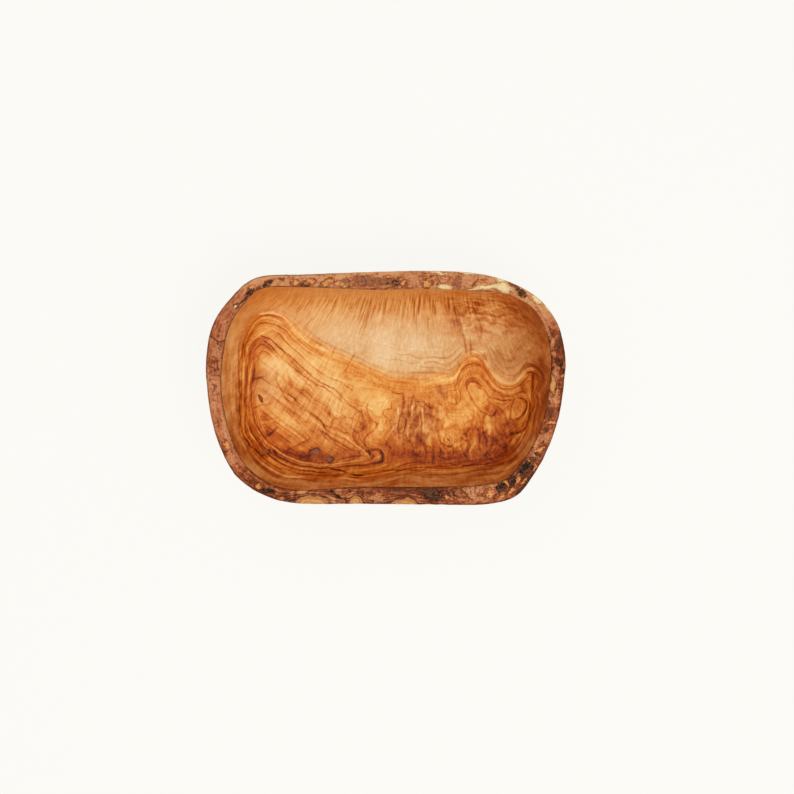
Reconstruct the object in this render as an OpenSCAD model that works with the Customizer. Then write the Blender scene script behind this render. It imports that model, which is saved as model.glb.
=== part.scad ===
// Natural-edge fruit bowl, carved from one block of olive wood.
// The block is cut bark side up, so the rim is the log's own skin and the hollow is carved below it.
// Origin at the middle of the foot, +X along the length, +Z up, millimetres.

/* [Bowl] */
// Length over the rim, along X
bowl_l = 300; // [240:1:360]
// Width over the rim, along Y
bowl_w = 197; // [160:1:236]
// Height of the rim at the middle of its ends
bowl_h = 76; // [64:1:90]
// Thickness of the floor at its middle
floor_t = 13; // [10:0.5:18]
// Rim width, as a multiple of the widths in the list of rim stations
rim_scale = 1; // [0.8:0.05:1.2]

/* [Section] */
// Flat foot, as a share of the rim's outline
foot_share = 0.7; // [0.6:0.01:0.75]
// Slope at which the outer wall leaves the foot, in degrees
foot_angle = 30; // [20:1:40]
// Power of the hollow's curve: higher gives a flatter floor and steeper walls
hollow_power = 8; // [5:1:12]

/* [Natural edge] */
// How far the log's round back falls from the ends of the rim to its long sides
rim_fall = 9; // [0:0.5:14]
// How much higher the rim is at +X than at -X, from the log's taper
rim_taper = 3; // [0:0.5:6]
// Thickness of the inner bark left on the rim
skin_t = 2; // [1:0.25:3]
// Thickness of the outer bark left in patches on the inner bark
scab_t = 1.5; // [0.8:0.1:2]

/* [Knots] */
// Depth of the dead knots below the surface of the hollow
knot_depth = 5; // [3:0.5:6]

/* [Hidden] */

// Rim stations, anticlockwise from +X: x and y as shares of half the length and half the width,
// then the width of the rim there in millimetres.
STATIONS = [
    [0.990, 0.00, 12.0], [1.000, 0.27, 12.0], [0.960, 0.54, 11.5], [0.860, 0.755, 9.5],
    [0.700, 0.90, 11.0], [0.500, 0.98, 15.0], [0.240, 1.00, 15.5], [-0.100, 0.99, 15.0],
    [-0.450, 0.97, 11.0], [-0.720, 0.945, 10.5], [-0.870, 0.76, 12.0], [-0.965, 0.54, 14.0],
    [-1.000, 0.27, 14.0], [-0.995, 0.00, 12.0], [-0.970, -0.27, 12.0], [-0.920, -0.52, 12.0],
    [-0.835, -0.75, 12.0], [-0.690, -0.91, 11.5], [-0.500, -0.985, 11.5], [-0.150, -0.99, 14.5],
    [0.250, -0.995, 15.0], [0.550, -0.995, 17.0], [0.730, -0.92, 17.0], [0.835, -0.72, 14.5],
    [0.915, -0.48, 12.5], [0.965, -0.24, 12.0]
];
STEPS = 4;
COLUMNS = len(STATIONS) * STEPS;

// Shares of the rim's width, from its outer to its inner edge, at which the bark skin has a row of points.
SKIN_ROWS = [0.1, 0.3, 0.5, 0.7, 0.9];
// Height of the skin's outer and inner edges, as a share of its thickness.
SKIN_OUTER_EDGE = 0.4;
SKIN_INNER_EDGE = 0.7;

OUTER_ROWS = 8;
HOLLOW_ANGLES = [10, 20, 30, 40, 50, 60, 68, 75, 81, 86];

// Patches of outer bark: first column, columns long, first and last row of the skin they lie on.
SCABS = [
    [2, 4, 0, 2], [13, 2, 1, 3], [26, 2, 1, 3], [36, 3, 1, 3], [69, 2, 2, 4],
    [74, 2, 1, 4], [82, 2, 2, 4], [86, 2, 1, 3], [89, 2, 2, 4], [92, 2, 0, 3]
];
SCAB_EDGE = 0.35;

// Dead knots: place of the middle, half length, half width, turn in degrees.
SLIT_KNOT = [-109, -9, 4.2, 1.6, -65];
CORNER_KNOT = [-104, -55, 3.4, 2.4, 10];
LARGE_KNOT = [-61, -56, 5.5, 4.0, -10];
SMALL_KNOT = [-50, -62, 4.6, 3.4, -30];
KNOT_SIDES = 28;
KNOT_REACH = 40;

// Outline of the rim

// Closed Catmull-Rom curve through the stations, at step j of span i.
function station(i) = STATIONS[(i + len(STATIONS)) % len(STATIONS)];
function spline(a, b, c, d, t) =
    (2 * b + (c - a) * t + (2 * a - 5 * b + 4 * c - d) * t * t + (3 * b - a - 3 * c + d) * t * t * t) / 2;
function rim_at(i, j) = spline(station(i - 1), station(i), station(i + 1), station(i + 2), j / STEPS);

RIM = [for (i = [0:len(STATIONS) - 1], j = [0:STEPS - 1]) rim_at(i, j)];
OUTER = [for (p = RIM) [p.x * bowl_l / 2, p.y * bowl_w / 2]];

// The inner edge lies the rim's width inside the outer one, along its normal.
function inward(k) =
    let (way = OUTER[(k + 1) % COLUMNS] - OUTER[(k + COLUMNS - 1) % COLUMNS])
    [-way.y, way.x] / norm(way);
INNER = [for (k = [0:COLUMNS - 1]) OUTER[k] + inward(k) * RIM[k].z * rim_scale];

function across(k, share) = OUTER[k] * (1 - share) + INNER[k] * share;

// Height of the log's skin above a point in plan: round across the log, with the log's taper along it.
function rim_z(p) =
    bowl_h - rim_fall * pow(p.y / (bowl_w / 2), 2) + rim_taper / 2 * p.x / (bowl_l / 2);
function wood_z(p) = rim_z(p) - skin_t;

// Rings of points, one per column

function raised(p, z) = [p.x, p.y, z];

// The outer wall is part of a quarter ellipse from the foot to the rim.
function outer_share(angle) =
    foot_share + (1 - foot_share) * (sin(angle) - sin(foot_angle)) / (1 - sin(foot_angle));
function outer_ring(angle) =
    let (rise = (cos(foot_angle) - cos(angle)) / cos(foot_angle))
    [for (p = OUTER) raised(p * outer_share(angle), wood_z(p) * rise)];

function seat_ring(share) =
    [for (k = [0:COLUMNS - 1]) let (p = across(k, share)) raised(p, wood_z(p))];

// The hollow is a superellipse: share of the inner outline to hollow_power, plus depth squared, is one.
function hollow_ring(angle) =
    let (share = pow(cos(angle), 2 / hollow_power))
    [for (p = INNER) raised(p * share, floor_t + (wood_z(p) - floor_t) * (1 - sin(angle)))];

function skin_ring(share, height) =
    [for (k = [0:COLUMNS - 1]) let (p = across(k, share)) raised(p, wood_z(p) + skin_t * height)];

// Height of the hollow's surface at a point in plan, from that point's share of the inner outline.
function inner_share(p) =
    [for (k = [0:COLUMNS - 1])
        let (a = INNER[k], b = INNER[(k + 1) % COLUMNS])
        if (cross(a, p) >= 0 && cross(p, b) > 0) cross(p, b - a) / cross(a, b)][0];
function hollow_z(p) =
    let (share = inner_share(p), depth = wood_z(p / share) - floor_t)
    floor_t + depth * (1 - sqrt(1 - pow(share, hollow_power)));

// Solids from rings

function joined(rings) = [for (ring = rings, p = ring) p];
function cell(row, k, next_row) =
    let (n = (k + 1) % COLUMNS, a = row * COLUMNS, b = next_row * COLUMNS)
    [[a + k, b + k, b + n], [a + k, b + n, a + n]];
function band(row, next_row) = [for (k = [0:COLUMNS - 1], face = cell(row, k, next_row)) face];

module bowl_blank() {
    rings = concat(
        [for (i = [0:OUTER_ROWS]) outer_ring(foot_angle + (90 - foot_angle) * i / OUTER_ROWS)],
        [for (share = SKIN_ROWS) seat_ring(share)],
        [seat_ring(1)],
        [for (angle = HOLLOW_ANGLES) hollow_ring(angle)]
    );
    last = len(rings) - 1;
    middle = len(rings) * COLUMNS;
    points = concat(joined(rings), [[0, 0, floor_t]]);
    foot = [[for (k = [0:COLUMNS - 1]) k]];
    walls = [for (row = [0:last - 1], face = band(row, row + 1)) face];
    floor = [for (k = [0:COLUMNS - 1]) [last * COLUMNS + k, middle, last * COLUMNS + (k + 1) % COLUMNS]];
    polyhedron(points, concat(foot, walls, floor), convexity = 6);
}

module skin_ring_solid() {
    rings = concat(
        [skin_ring(0, 0), skin_ring(0, SKIN_OUTER_EDGE)],
        [for (share = SKIN_ROWS) skin_ring(share, 1)],
        [skin_ring(1, SKIN_INNER_EDGE), skin_ring(1, 0)],
        [for (i = [len(SKIN_ROWS) - 1:-1:0]) skin_ring(SKIN_ROWS[i], 0)]
    );
    faces = [for (row = [0:len(rings) - 1], face = band(row, (row + 1) % len(rings))) face];
    polyhedron(joined(rings), faces, convexity = 6);
}

// One patch of outer bark: a plate on the skin's own cells, thick in its middle and thin at its edge.
module scab(first, columns, row_a, row_b) {
    wide = row_b - row_a + 1;
    long = columns + 1;
    function place(i, j, height) =
        let (k = (first + i) % COLUMNS, p = across(k, SKIN_ROWS[row_a + j]))
        raised(p, rim_z(p) + height);
    function edge(i, j) = i == 0 || i == columns || j == 0 || j == wide - 1;
    under = [for (i = [0:columns], j = [0:wide - 1]) place(i, j, 0)];
    over = [for (i = [0:columns], j = [0:wide - 1]) place(i, j, edge(i, j) ? scab_t * SCAB_EDGE : scab_t)];
    count = long * wide;
    function at(i, j, top) = i * wide + j + (top ? count : 0);
    plate = [for (i = [0:columns - 1], j = [0:wide - 2], face = [
        [at(i, j, true), at(i, j + 1, true), at(i + 1, j + 1, true)],
        [at(i, j, true), at(i + 1, j + 1, true), at(i + 1, j, true)],
        [at(i, j, false), at(i + 1, j + 1, false), at(i, j + 1, false)],
        [at(i, j, false), at(i + 1, j, false), at(i + 1, j + 1, false)]
    ]) face];
    border = concat(
        [for (i = [0:columns - 1]) [i, 0]],
        [for (j = [0:wide - 2]) [columns, j]],
        [for (i = [columns:-1:1]) [i, wide - 1]],
        [for (j = [wide - 1:-1:1]) [0, j]]
    );
    sides = [for (b = [0:len(border) - 1], face = let (
            p = border[b],
            q = border[(b + 1) % len(border)]
        ) [
            [at(p.x, p.y, false), at(p.x, p.y, true), at(q.x, q.y, true)],
            [at(p.x, p.y, false), at(q.x, q.y, true), at(q.x, q.y, false)]
        ]) face];
    polyhedron(concat(under, over), concat(plate, sides), convexity = 4);
}

// The space that a dead knot fills, straight up from its root.
module knot_space(knot) {
    oval = [for (i = [0:KNOT_SIDES - 1])
        let (a = 360 * i / KNOT_SIDES) [knot[2] * cos(a), knot[3] * sin(a)]];
    translate([knot.x, knot.y, hollow_z([knot.x, knot.y]) - knot_depth])
        rotate([0, 0, knot[4]])
            linear_extrude(height = KNOT_REACH)
                polygon(oval);
}

module dead_knot(knot) {
    intersection() {
        bowl_blank();
        knot_space(knot);
    }
}

// Pieces

module bowl_body() {
    color("peru")
        difference() {
            bowl_blank();
            knot_space(SLIT_KNOT);
            knot_space(CORNER_KNOT);
            knot_space(LARGE_KNOT);
            knot_space(SMALL_KNOT);
        }
}

module natural_edge() {
    color("sienna") skin_ring_solid();
}

module bark_scabs() {
    color([0.2, 0.15, 0.12])
        for (s = SCABS)
            scab(s[0], s[1], s[2], s[3]);
}

module slit_knot() {
    color([0.25, 0.16, 0.12]) dead_knot(SLIT_KNOT);
}

module corner_knot() {
    color([0.5, 0.3, 0.18]) dead_knot(CORNER_KNOT);
}

module floor_knot_large() {
    color([0.5, 0.3, 0.18]) dead_knot(LARGE_KNOT);
}

module floor_knot_small() {
    color([0.5, 0.3, 0.18]) dead_knot(SMALL_KNOT);
}

bowl_body();
natural_edge();
bark_scabs();
slit_knot();
corner_knot();
floor_knot_large();
floor_knot_small();
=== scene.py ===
import math

import bpy
import numpy as np
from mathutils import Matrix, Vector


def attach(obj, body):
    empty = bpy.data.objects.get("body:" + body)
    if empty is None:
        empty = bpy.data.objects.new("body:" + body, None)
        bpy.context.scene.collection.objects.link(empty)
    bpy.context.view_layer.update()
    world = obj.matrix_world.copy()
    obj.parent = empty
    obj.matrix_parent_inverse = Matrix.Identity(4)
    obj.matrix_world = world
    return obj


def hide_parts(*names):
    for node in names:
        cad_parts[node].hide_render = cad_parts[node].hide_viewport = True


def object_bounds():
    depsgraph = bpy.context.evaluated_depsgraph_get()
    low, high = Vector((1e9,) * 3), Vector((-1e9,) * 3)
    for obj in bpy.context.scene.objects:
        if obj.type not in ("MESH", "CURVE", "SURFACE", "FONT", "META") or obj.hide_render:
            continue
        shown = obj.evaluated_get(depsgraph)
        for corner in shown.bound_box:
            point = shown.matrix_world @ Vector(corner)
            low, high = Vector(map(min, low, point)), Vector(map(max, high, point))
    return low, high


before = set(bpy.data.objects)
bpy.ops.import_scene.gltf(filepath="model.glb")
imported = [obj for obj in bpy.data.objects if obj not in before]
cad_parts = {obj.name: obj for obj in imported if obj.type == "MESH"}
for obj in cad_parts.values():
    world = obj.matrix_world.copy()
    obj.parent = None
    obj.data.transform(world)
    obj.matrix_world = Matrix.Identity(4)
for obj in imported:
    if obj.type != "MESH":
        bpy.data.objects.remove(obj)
CAD_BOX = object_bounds()

bl_info = {
    "name": "Natural-edge fruit bowl",
    "version": (1, 0, 0),
    "blender": (4, 5, 0),
    "location": "3D View > Sidebar > Fruit Bowl",
    "description": "A carved olive-wood fruit bowl with bark left on its rim, and a plain stage for it",
    "category": "Add Mesh",
}

MM = 0.001

# Rim stations, anticlockwise from +X: x and y as shares of half the length and half the width,
# then the width of the rim in millimetres.
RIM_STATIONS = np.array([
    (0.990, 0.00, 12.0), (1.000, 0.27, 12.0), (0.960, 0.54, 11.5), (0.860, 0.755, 9.5),
    (0.700, 0.90, 11.0), (0.500, 0.98, 15.0), (0.240, 1.00, 15.5), (-0.100, 0.99, 15.0),
    (-0.450, 0.97, 11.0), (-0.720, 0.945, 10.5), (-0.870, 0.76, 12.0), (-0.965, 0.54, 14.0),
    (-1.000, 0.27, 14.0), (-0.995, 0.00, 12.0), (-0.970, -0.27, 12.0), (-0.920, -0.52, 12.0),
    (-0.835, -0.75, 12.0), (-0.690, -0.91, 11.5), (-0.500, -0.985, 11.5), (-0.150, -0.99, 14.5),
    (0.250, -0.995, 15.0), (0.550, -0.995, 17.0), (0.730, -0.92, 17.0), (0.835, -0.72, 14.5),
    (0.915, -0.48, 12.5), (0.965, -0.24, 12.0),
])

# The photograph looks straight down. Places on the bowl that are given in its pixels are turned into
# millimetres on the bowl with these: its middle, the point of the bowl under it, the size of a pixel at the
# height of the rim, that height, and how far the camera is above it.
PHOTO_MIDDLE = 397.0
PHOTO_AXIS = np.array((9.6, -7.6)) * MM
PHOTO_PIXEL = 0.837 * MM
PHOTO_RIM_Z = 72 * MM
PHOTO_DISTANCE = 1300 * MM

# Growth-ring guide lines in the hollow: ring number, then points along the line in photograph pixels.
# Ring 0 bounds the dark figured heartwood, lower numbers lie outside it and higher ones inside it.
RING_GUIDES = (
    (0, (241, 412), (241, 380), (241.5, 352), (247, 331), (257, 316), (268, 312.5), (280, 315), (290, 322),
        (301, 333), (315, 343), (330, 351), (350, 360), (371, 370), (390, 379), (412, 380), (426, 381),
        (436, 378), (446, 375), (456, 371), (461, 362), (467, 356), (475, 354.5), (482, 358), (487, 367),
        (493, 376), (501, 384), (510, 385), (518, 382), (523, 376), (531, 370)),
    (0, (241, 434), (252, 452), (262, 462), (275, 471), (290, 476), (310, 478), (345, 477), (400, 472),
        (430, 470), (460, 469), (490, 465), (510, 457), (522, 445), (529, 430), (532, 415), (534, 395)),
    (1, (455, 383), (460, 373), (464, 367), (470, 364.5), (478, 363.5), (484, 368), (486, 374), (490, 380),
        (495, 385), (501, 389), (510, 390), (518, 387), (529, 377)),
    (1, (445, 386), (432, 389), (405, 390), (385, 386), (365, 378), (340, 366), (320, 357), (300, 345),
        (285, 331), (270, 323), (258, 325), (249, 339), (245, 360), (245, 390), (245, 415)),
    (2, (461, 384), (464, 375), (470, 370), (477, 369), (484, 373), (488, 381), (491, 389), (500, 394),
        (510, 395), (520, 391), (528, 385)),
    (2, (249, 420), (249, 380), (248, 350), (253, 339), (259, 335), (264, 335), (272, 341), (285, 352),
        (300, 367), (315, 379), (327, 387), (339, 394), (350, 405), (360, 415), (370, 430), (379, 441),
        (390, 455), (389, 463), (376, 468), (350, 471), (320, 472.5), (298, 470), (278, 461.5), (266, 452),
        (257, 440)),
    (3, (465, 383), (468, 379), (475, 377.5), (482, 382.5), (488, 390), (491, 397), (497, 400), (508, 400)),
    (3, (464, 390), (470, 400), (477, 408), (485, 413), (494, 416)),
    (3, (252, 385), (252, 360), (256, 347), (264, 343), (274, 349), (290, 366), (310, 384), (330, 399),
        (345, 418), (360, 438), (368, 446), (377, 449.5), (384, 457), (380, 462), (368, 465), (350, 467),
        (325, 469), (300, 466.5), (280, 459), (266, 447), (257, 433), (253, 415)),
    (4, (471, 386), (478, 386), (485, 393), (485, 401), (478, 401), (472, 394)),
    (4, (514, 400), (511, 408), (510, 416), (514, 419), (522, 415), (525, 407), (524, 400)),
    (4, (258, 378), (268, 383), (284, 399), (301, 411), (317, 420), (324, 427), (342, 436), (352, 442),
        (362, 450)),
    (4, (255, 395), (256, 410), (262, 430), (274, 447), (290, 457), (310, 463), (330, 464), (355, 460.5),
        (368, 456)),
    (6, (263, 402), (285, 422), (310, 441), (335, 452)),
    (2, (400, 406), (420, 403), (440, 404), (404, 424), (425, 428), (404, 446), (430, 450), (450, 430),
        (470, 424), (455, 450), (480, 446), (505, 438), (518, 428), (456, 412), (450, 398)),
    (-1, (425, 362), (437, 365), (448, 365), (455, 361), (461, 353), (463, 343)),
    (-1, (476, 344), (486, 352), (490, 360), (496, 368), (506, 375), (516, 372), (522, 364)),
    (-1, (400, 364), (370, 356), (340, 342), (315, 326), (298, 313), (280, 307), (262, 306), (248, 316)),
    (-1, (237, 400), (237, 360), (241, 331), (238, 430)),
    (-2, (405, 352), (425, 353), (441, 353), (451, 349), (457, 341), (460, 330)),
    (-2, (484, 338), (494, 352), (503, 362), (512, 362), (519, 350)),
    (-2, (230, 400), (230, 360), (234, 330), (246, 307), (264, 299), (292, 302)),
    (-2, (236, 440), (250, 466), (272, 480), (300, 483), (400, 481), (480, 478), (520, 464), (538, 438)),
    (-2, (544, 400), (545, 360), (538, 330)),
    (-3.5, (350, 318), (400, 332), (432, 334), (450, 320), (500, 338)),
    (-5, (280, 292), (350, 293), (400, 294), (450, 295), (500, 301), (530, 318)),
)

# How far the rings may leave the guides, so that they bend smoothly.
RING_STIFFNESS = 2e-4

# Rings between which each kind of figure comes in or, where the higher one is first, goes out.
RING_STEPS = {
    "heartwood": (-0.8, 0.2), "plain colour": (0.2, -0.6), "burl": (0.8, 1.6), "seam": (2.2, 1.0),
    "wing core": (4.0, 4.5), "hems": (-3.2, -1.6), "hems end": (0.5, -0.3),
}

# Two points on the slanting lines in the heart of the wing, in photograph pixels, the ring that they lie on
# and how far apart the rings are there.
WING_SLANT = ((258, 378), (362, 450))
WING_RING = 4
WING_SPACING = 18 * MM

# Where the rays of the plain wood fan out from, and the hollow's back edge where they start, in photograph
# pixels, then how far they reach below it and how much that varies, in pixels too.
RAY_CENTRE = (425, 150)
BACK_EDGE = (400, 290)
RAY_REACH = (28, 30)

# Regions of the hollow's figure: place, half sizes and turn in photograph pixels and degrees, then the
# power that sharpens the border.
REGIONS = {
    "wing": (310, 398, 72, 44, -38, 4), "wing core": (305, 422, 75, 48, -36, 8),
    "rays": (382, 302, 116, 60, 0, 4), "curls": (484, 312, 40, 25, -10, 2),
    "plateau": (395, 348, 118, 30, 0, 4), "right plateau": (504, 350, 30, 26, 0, 4),
    "seam": (388, 372, 84, 20, -6, 4), "left seam": (325, 342, 50, 16, -34, 4),
    "burl": (455, 428, 66, 38, 0, 4), "calm burl": (462, 411, 34, 20, 10, 2),
    "notch": (356, 422, 20, 22, 0, 4), "eye": (475, 399, 15, 20, -25, 4),
    "right eye": (518, 408, 10, 11, 0, 4), "left eye": (268, 370, 15, 19, -35, 4),
}

# Patches of lighter and darker wood in the hollow: place, half sizes and turn in photograph pixels and
# degrees, then how much lighter or, below nought, darker the wood is there. Most are the wood's own tone,
# but the walls' patches are partly painted shade and light. They are darker on the right and front walls,
# which face away from the light, and lighter on the left wall, which faces it. The plateau's patch is
# partly a painted sheen.
TONE_AND_PAINTED_LIGHT_PATCHES = (
    ("plateau", 400, 342, 100, 34, 0, 0.19), ("plateau left", 330, 325, 45, 22, 0, 0.33),
    ("plateau right", 503, 352, 26, 24, 0, -0.42), ("back right corner", 480, 306, 45, 18, -8, -0.3),
    # Painted shade on the right and front walls and painted light on the left wall, over the wood's tone
    ("right corner", 526, 312, 20, 24, 40, -0.9), ("right wall", 543, 355, 11, 62, 0, -0.85),
    ("right wall low", 541, 420, 8, 34, -12, -0.8), ("left wall", 231, 385, 9, 60, 0, 0.15),
    ("left band", 254, 348, 14, 34, 10, -0.4), ("left wall low", 240, 447, 11, 26, 25, -0.3),
    ("front wall", 390, 480, 120, 8, 0, -0.4), ("front right wall", 505, 465, 34, 12, 24, -0.6),
    ("front left wall", 275, 478, 26, 8, -20, -0.15), ("back left wall", 262, 298, 26, 11, 22, -0.25),
    ("wing gold", 325, 385, 46, 24, -38, 0.62), ("wing gold left", 278, 364, 20, 15, -40, 0.8),
    ("wing arch", 262, 322, 18, 10, 20, 0.1), ("left rings", 247, 385, 7, 52, 0, -0.4),
    ("corner rings", 256, 440, 12, 24, 35, -0.45), ("front rings", 320, 469, 70, 8, 0, -0.1),
    ("wing core", 290, 415, 30, 16, -38, 0.28), ("wing foot", 305, 456, 48, 9, -3, -0.72),
    ("foot light", 302, 451, 7, 3.4, 0, 0.75), ("wing stain", 261, 378, 8, 5, 10, -0.5),
    ("wing stain low", 265, 416, 5, 8, -30, -0.45), ("corner stain", 269, 434, 7, 6, 0, -0.35),
    ("notch", 360, 424, 7, 10, 0, -0.5), ("above the notch", 356, 402, 7, 8, 0, -0.35),
    ("gold", 381, 408, 7, 8, 20, 0.15), ("burl calm", 462, 412, 10, 8, 0, 0.3),
    ("gold patch", 379, 407, 11, 17, 10, 0.52), ("gold patch low", 372, 436, 8, 10, 0, 0.3),
    ("flame", 414, 424, 24, 24, 0, -0.12), ("flame low", 418, 458, 48, 13, 0, -0.8),
    ("flame bar one", 404, 413, 3.6, 18, 0, -0.36), ("flame bar two", 417, 420, 3.2, 14, 0, -0.35),
    ("flame bar between", 410, 416, 2.4, 12, 0, -0.25), ("flame bar three", 430, 411, 5, 9, 0, -0.25),
    ("flame block", 417, 438, 9, 7, 0, -0.45), ("flame gap", 431, 440, 3.6, 6, 0, 0.5),
    ("flame light", 396, 412, 3, 14, 0, 0.3), ("flame side", 396, 441, 8, 6, 0, -0.2),
    ("burl dark", 499, 442, 24, 17, 20, -0.9), ("burl red", 470, 458, 36, 10, 0, -0.6),
    ("burl gold", 452, 425, 16, 15, 0, 0.55), ("burl shade", 466, 434, 7, 6, 0, -0.35),
    ("burl gold right", 470, 408, 22, 12, 30, 0.3), ("eye", 479, 393, 12, 12, -40, 0.25),
    ("right eye", 518, 409, 9, 10, 0, -0.12), ("right edge", 529, 405, 6, 32, -4, 0.1),
    ("shoulder gold", 444, 379, 20, 5, 12, 0.35), ("arch gold", 474, 358, 9, 6, 0, 0.4),
    ("above the arch", 477, 340, 13, 16, 0, -0.5), ("beside the arch", 455, 320, 9, 15, 0, -0.35),
    ("plateau foot", 372, 366, 26, 16, -20, 0.35), ("wall foot", 522, 444, 9, 9, 45, -0.3),
    ("burl edge", 509, 449, 6, 8, 40, -0.4), ("burl shade right", 478, 433, 8, 7, 0, -0.35),
    ("under the right eye", 510, 430, 16, 6, 0, -0.45), ("burl red middle", 489, 449, 11, 7, 0, 0.35),
    ("above the right eye", 525, 387, 6, 8, 0, -0.4),
)

# Patches in the figured wood where its colour is that of the plain wood: place, half sizes and turn in
# photograph pixels and degrees, then the share of the plain colour.
CREAM_PATCHES = (
    ("flame", 415, 422, 26, 26, 0, 0.4), ("left stains", 266, 388, 14, 20, -30, 0.35),
    ("burl hook", 441, 392, 6, 9, 0, 0.3), ("right wall foot", 524, 444, 12, 9, 45, 0.3),
)

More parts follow.
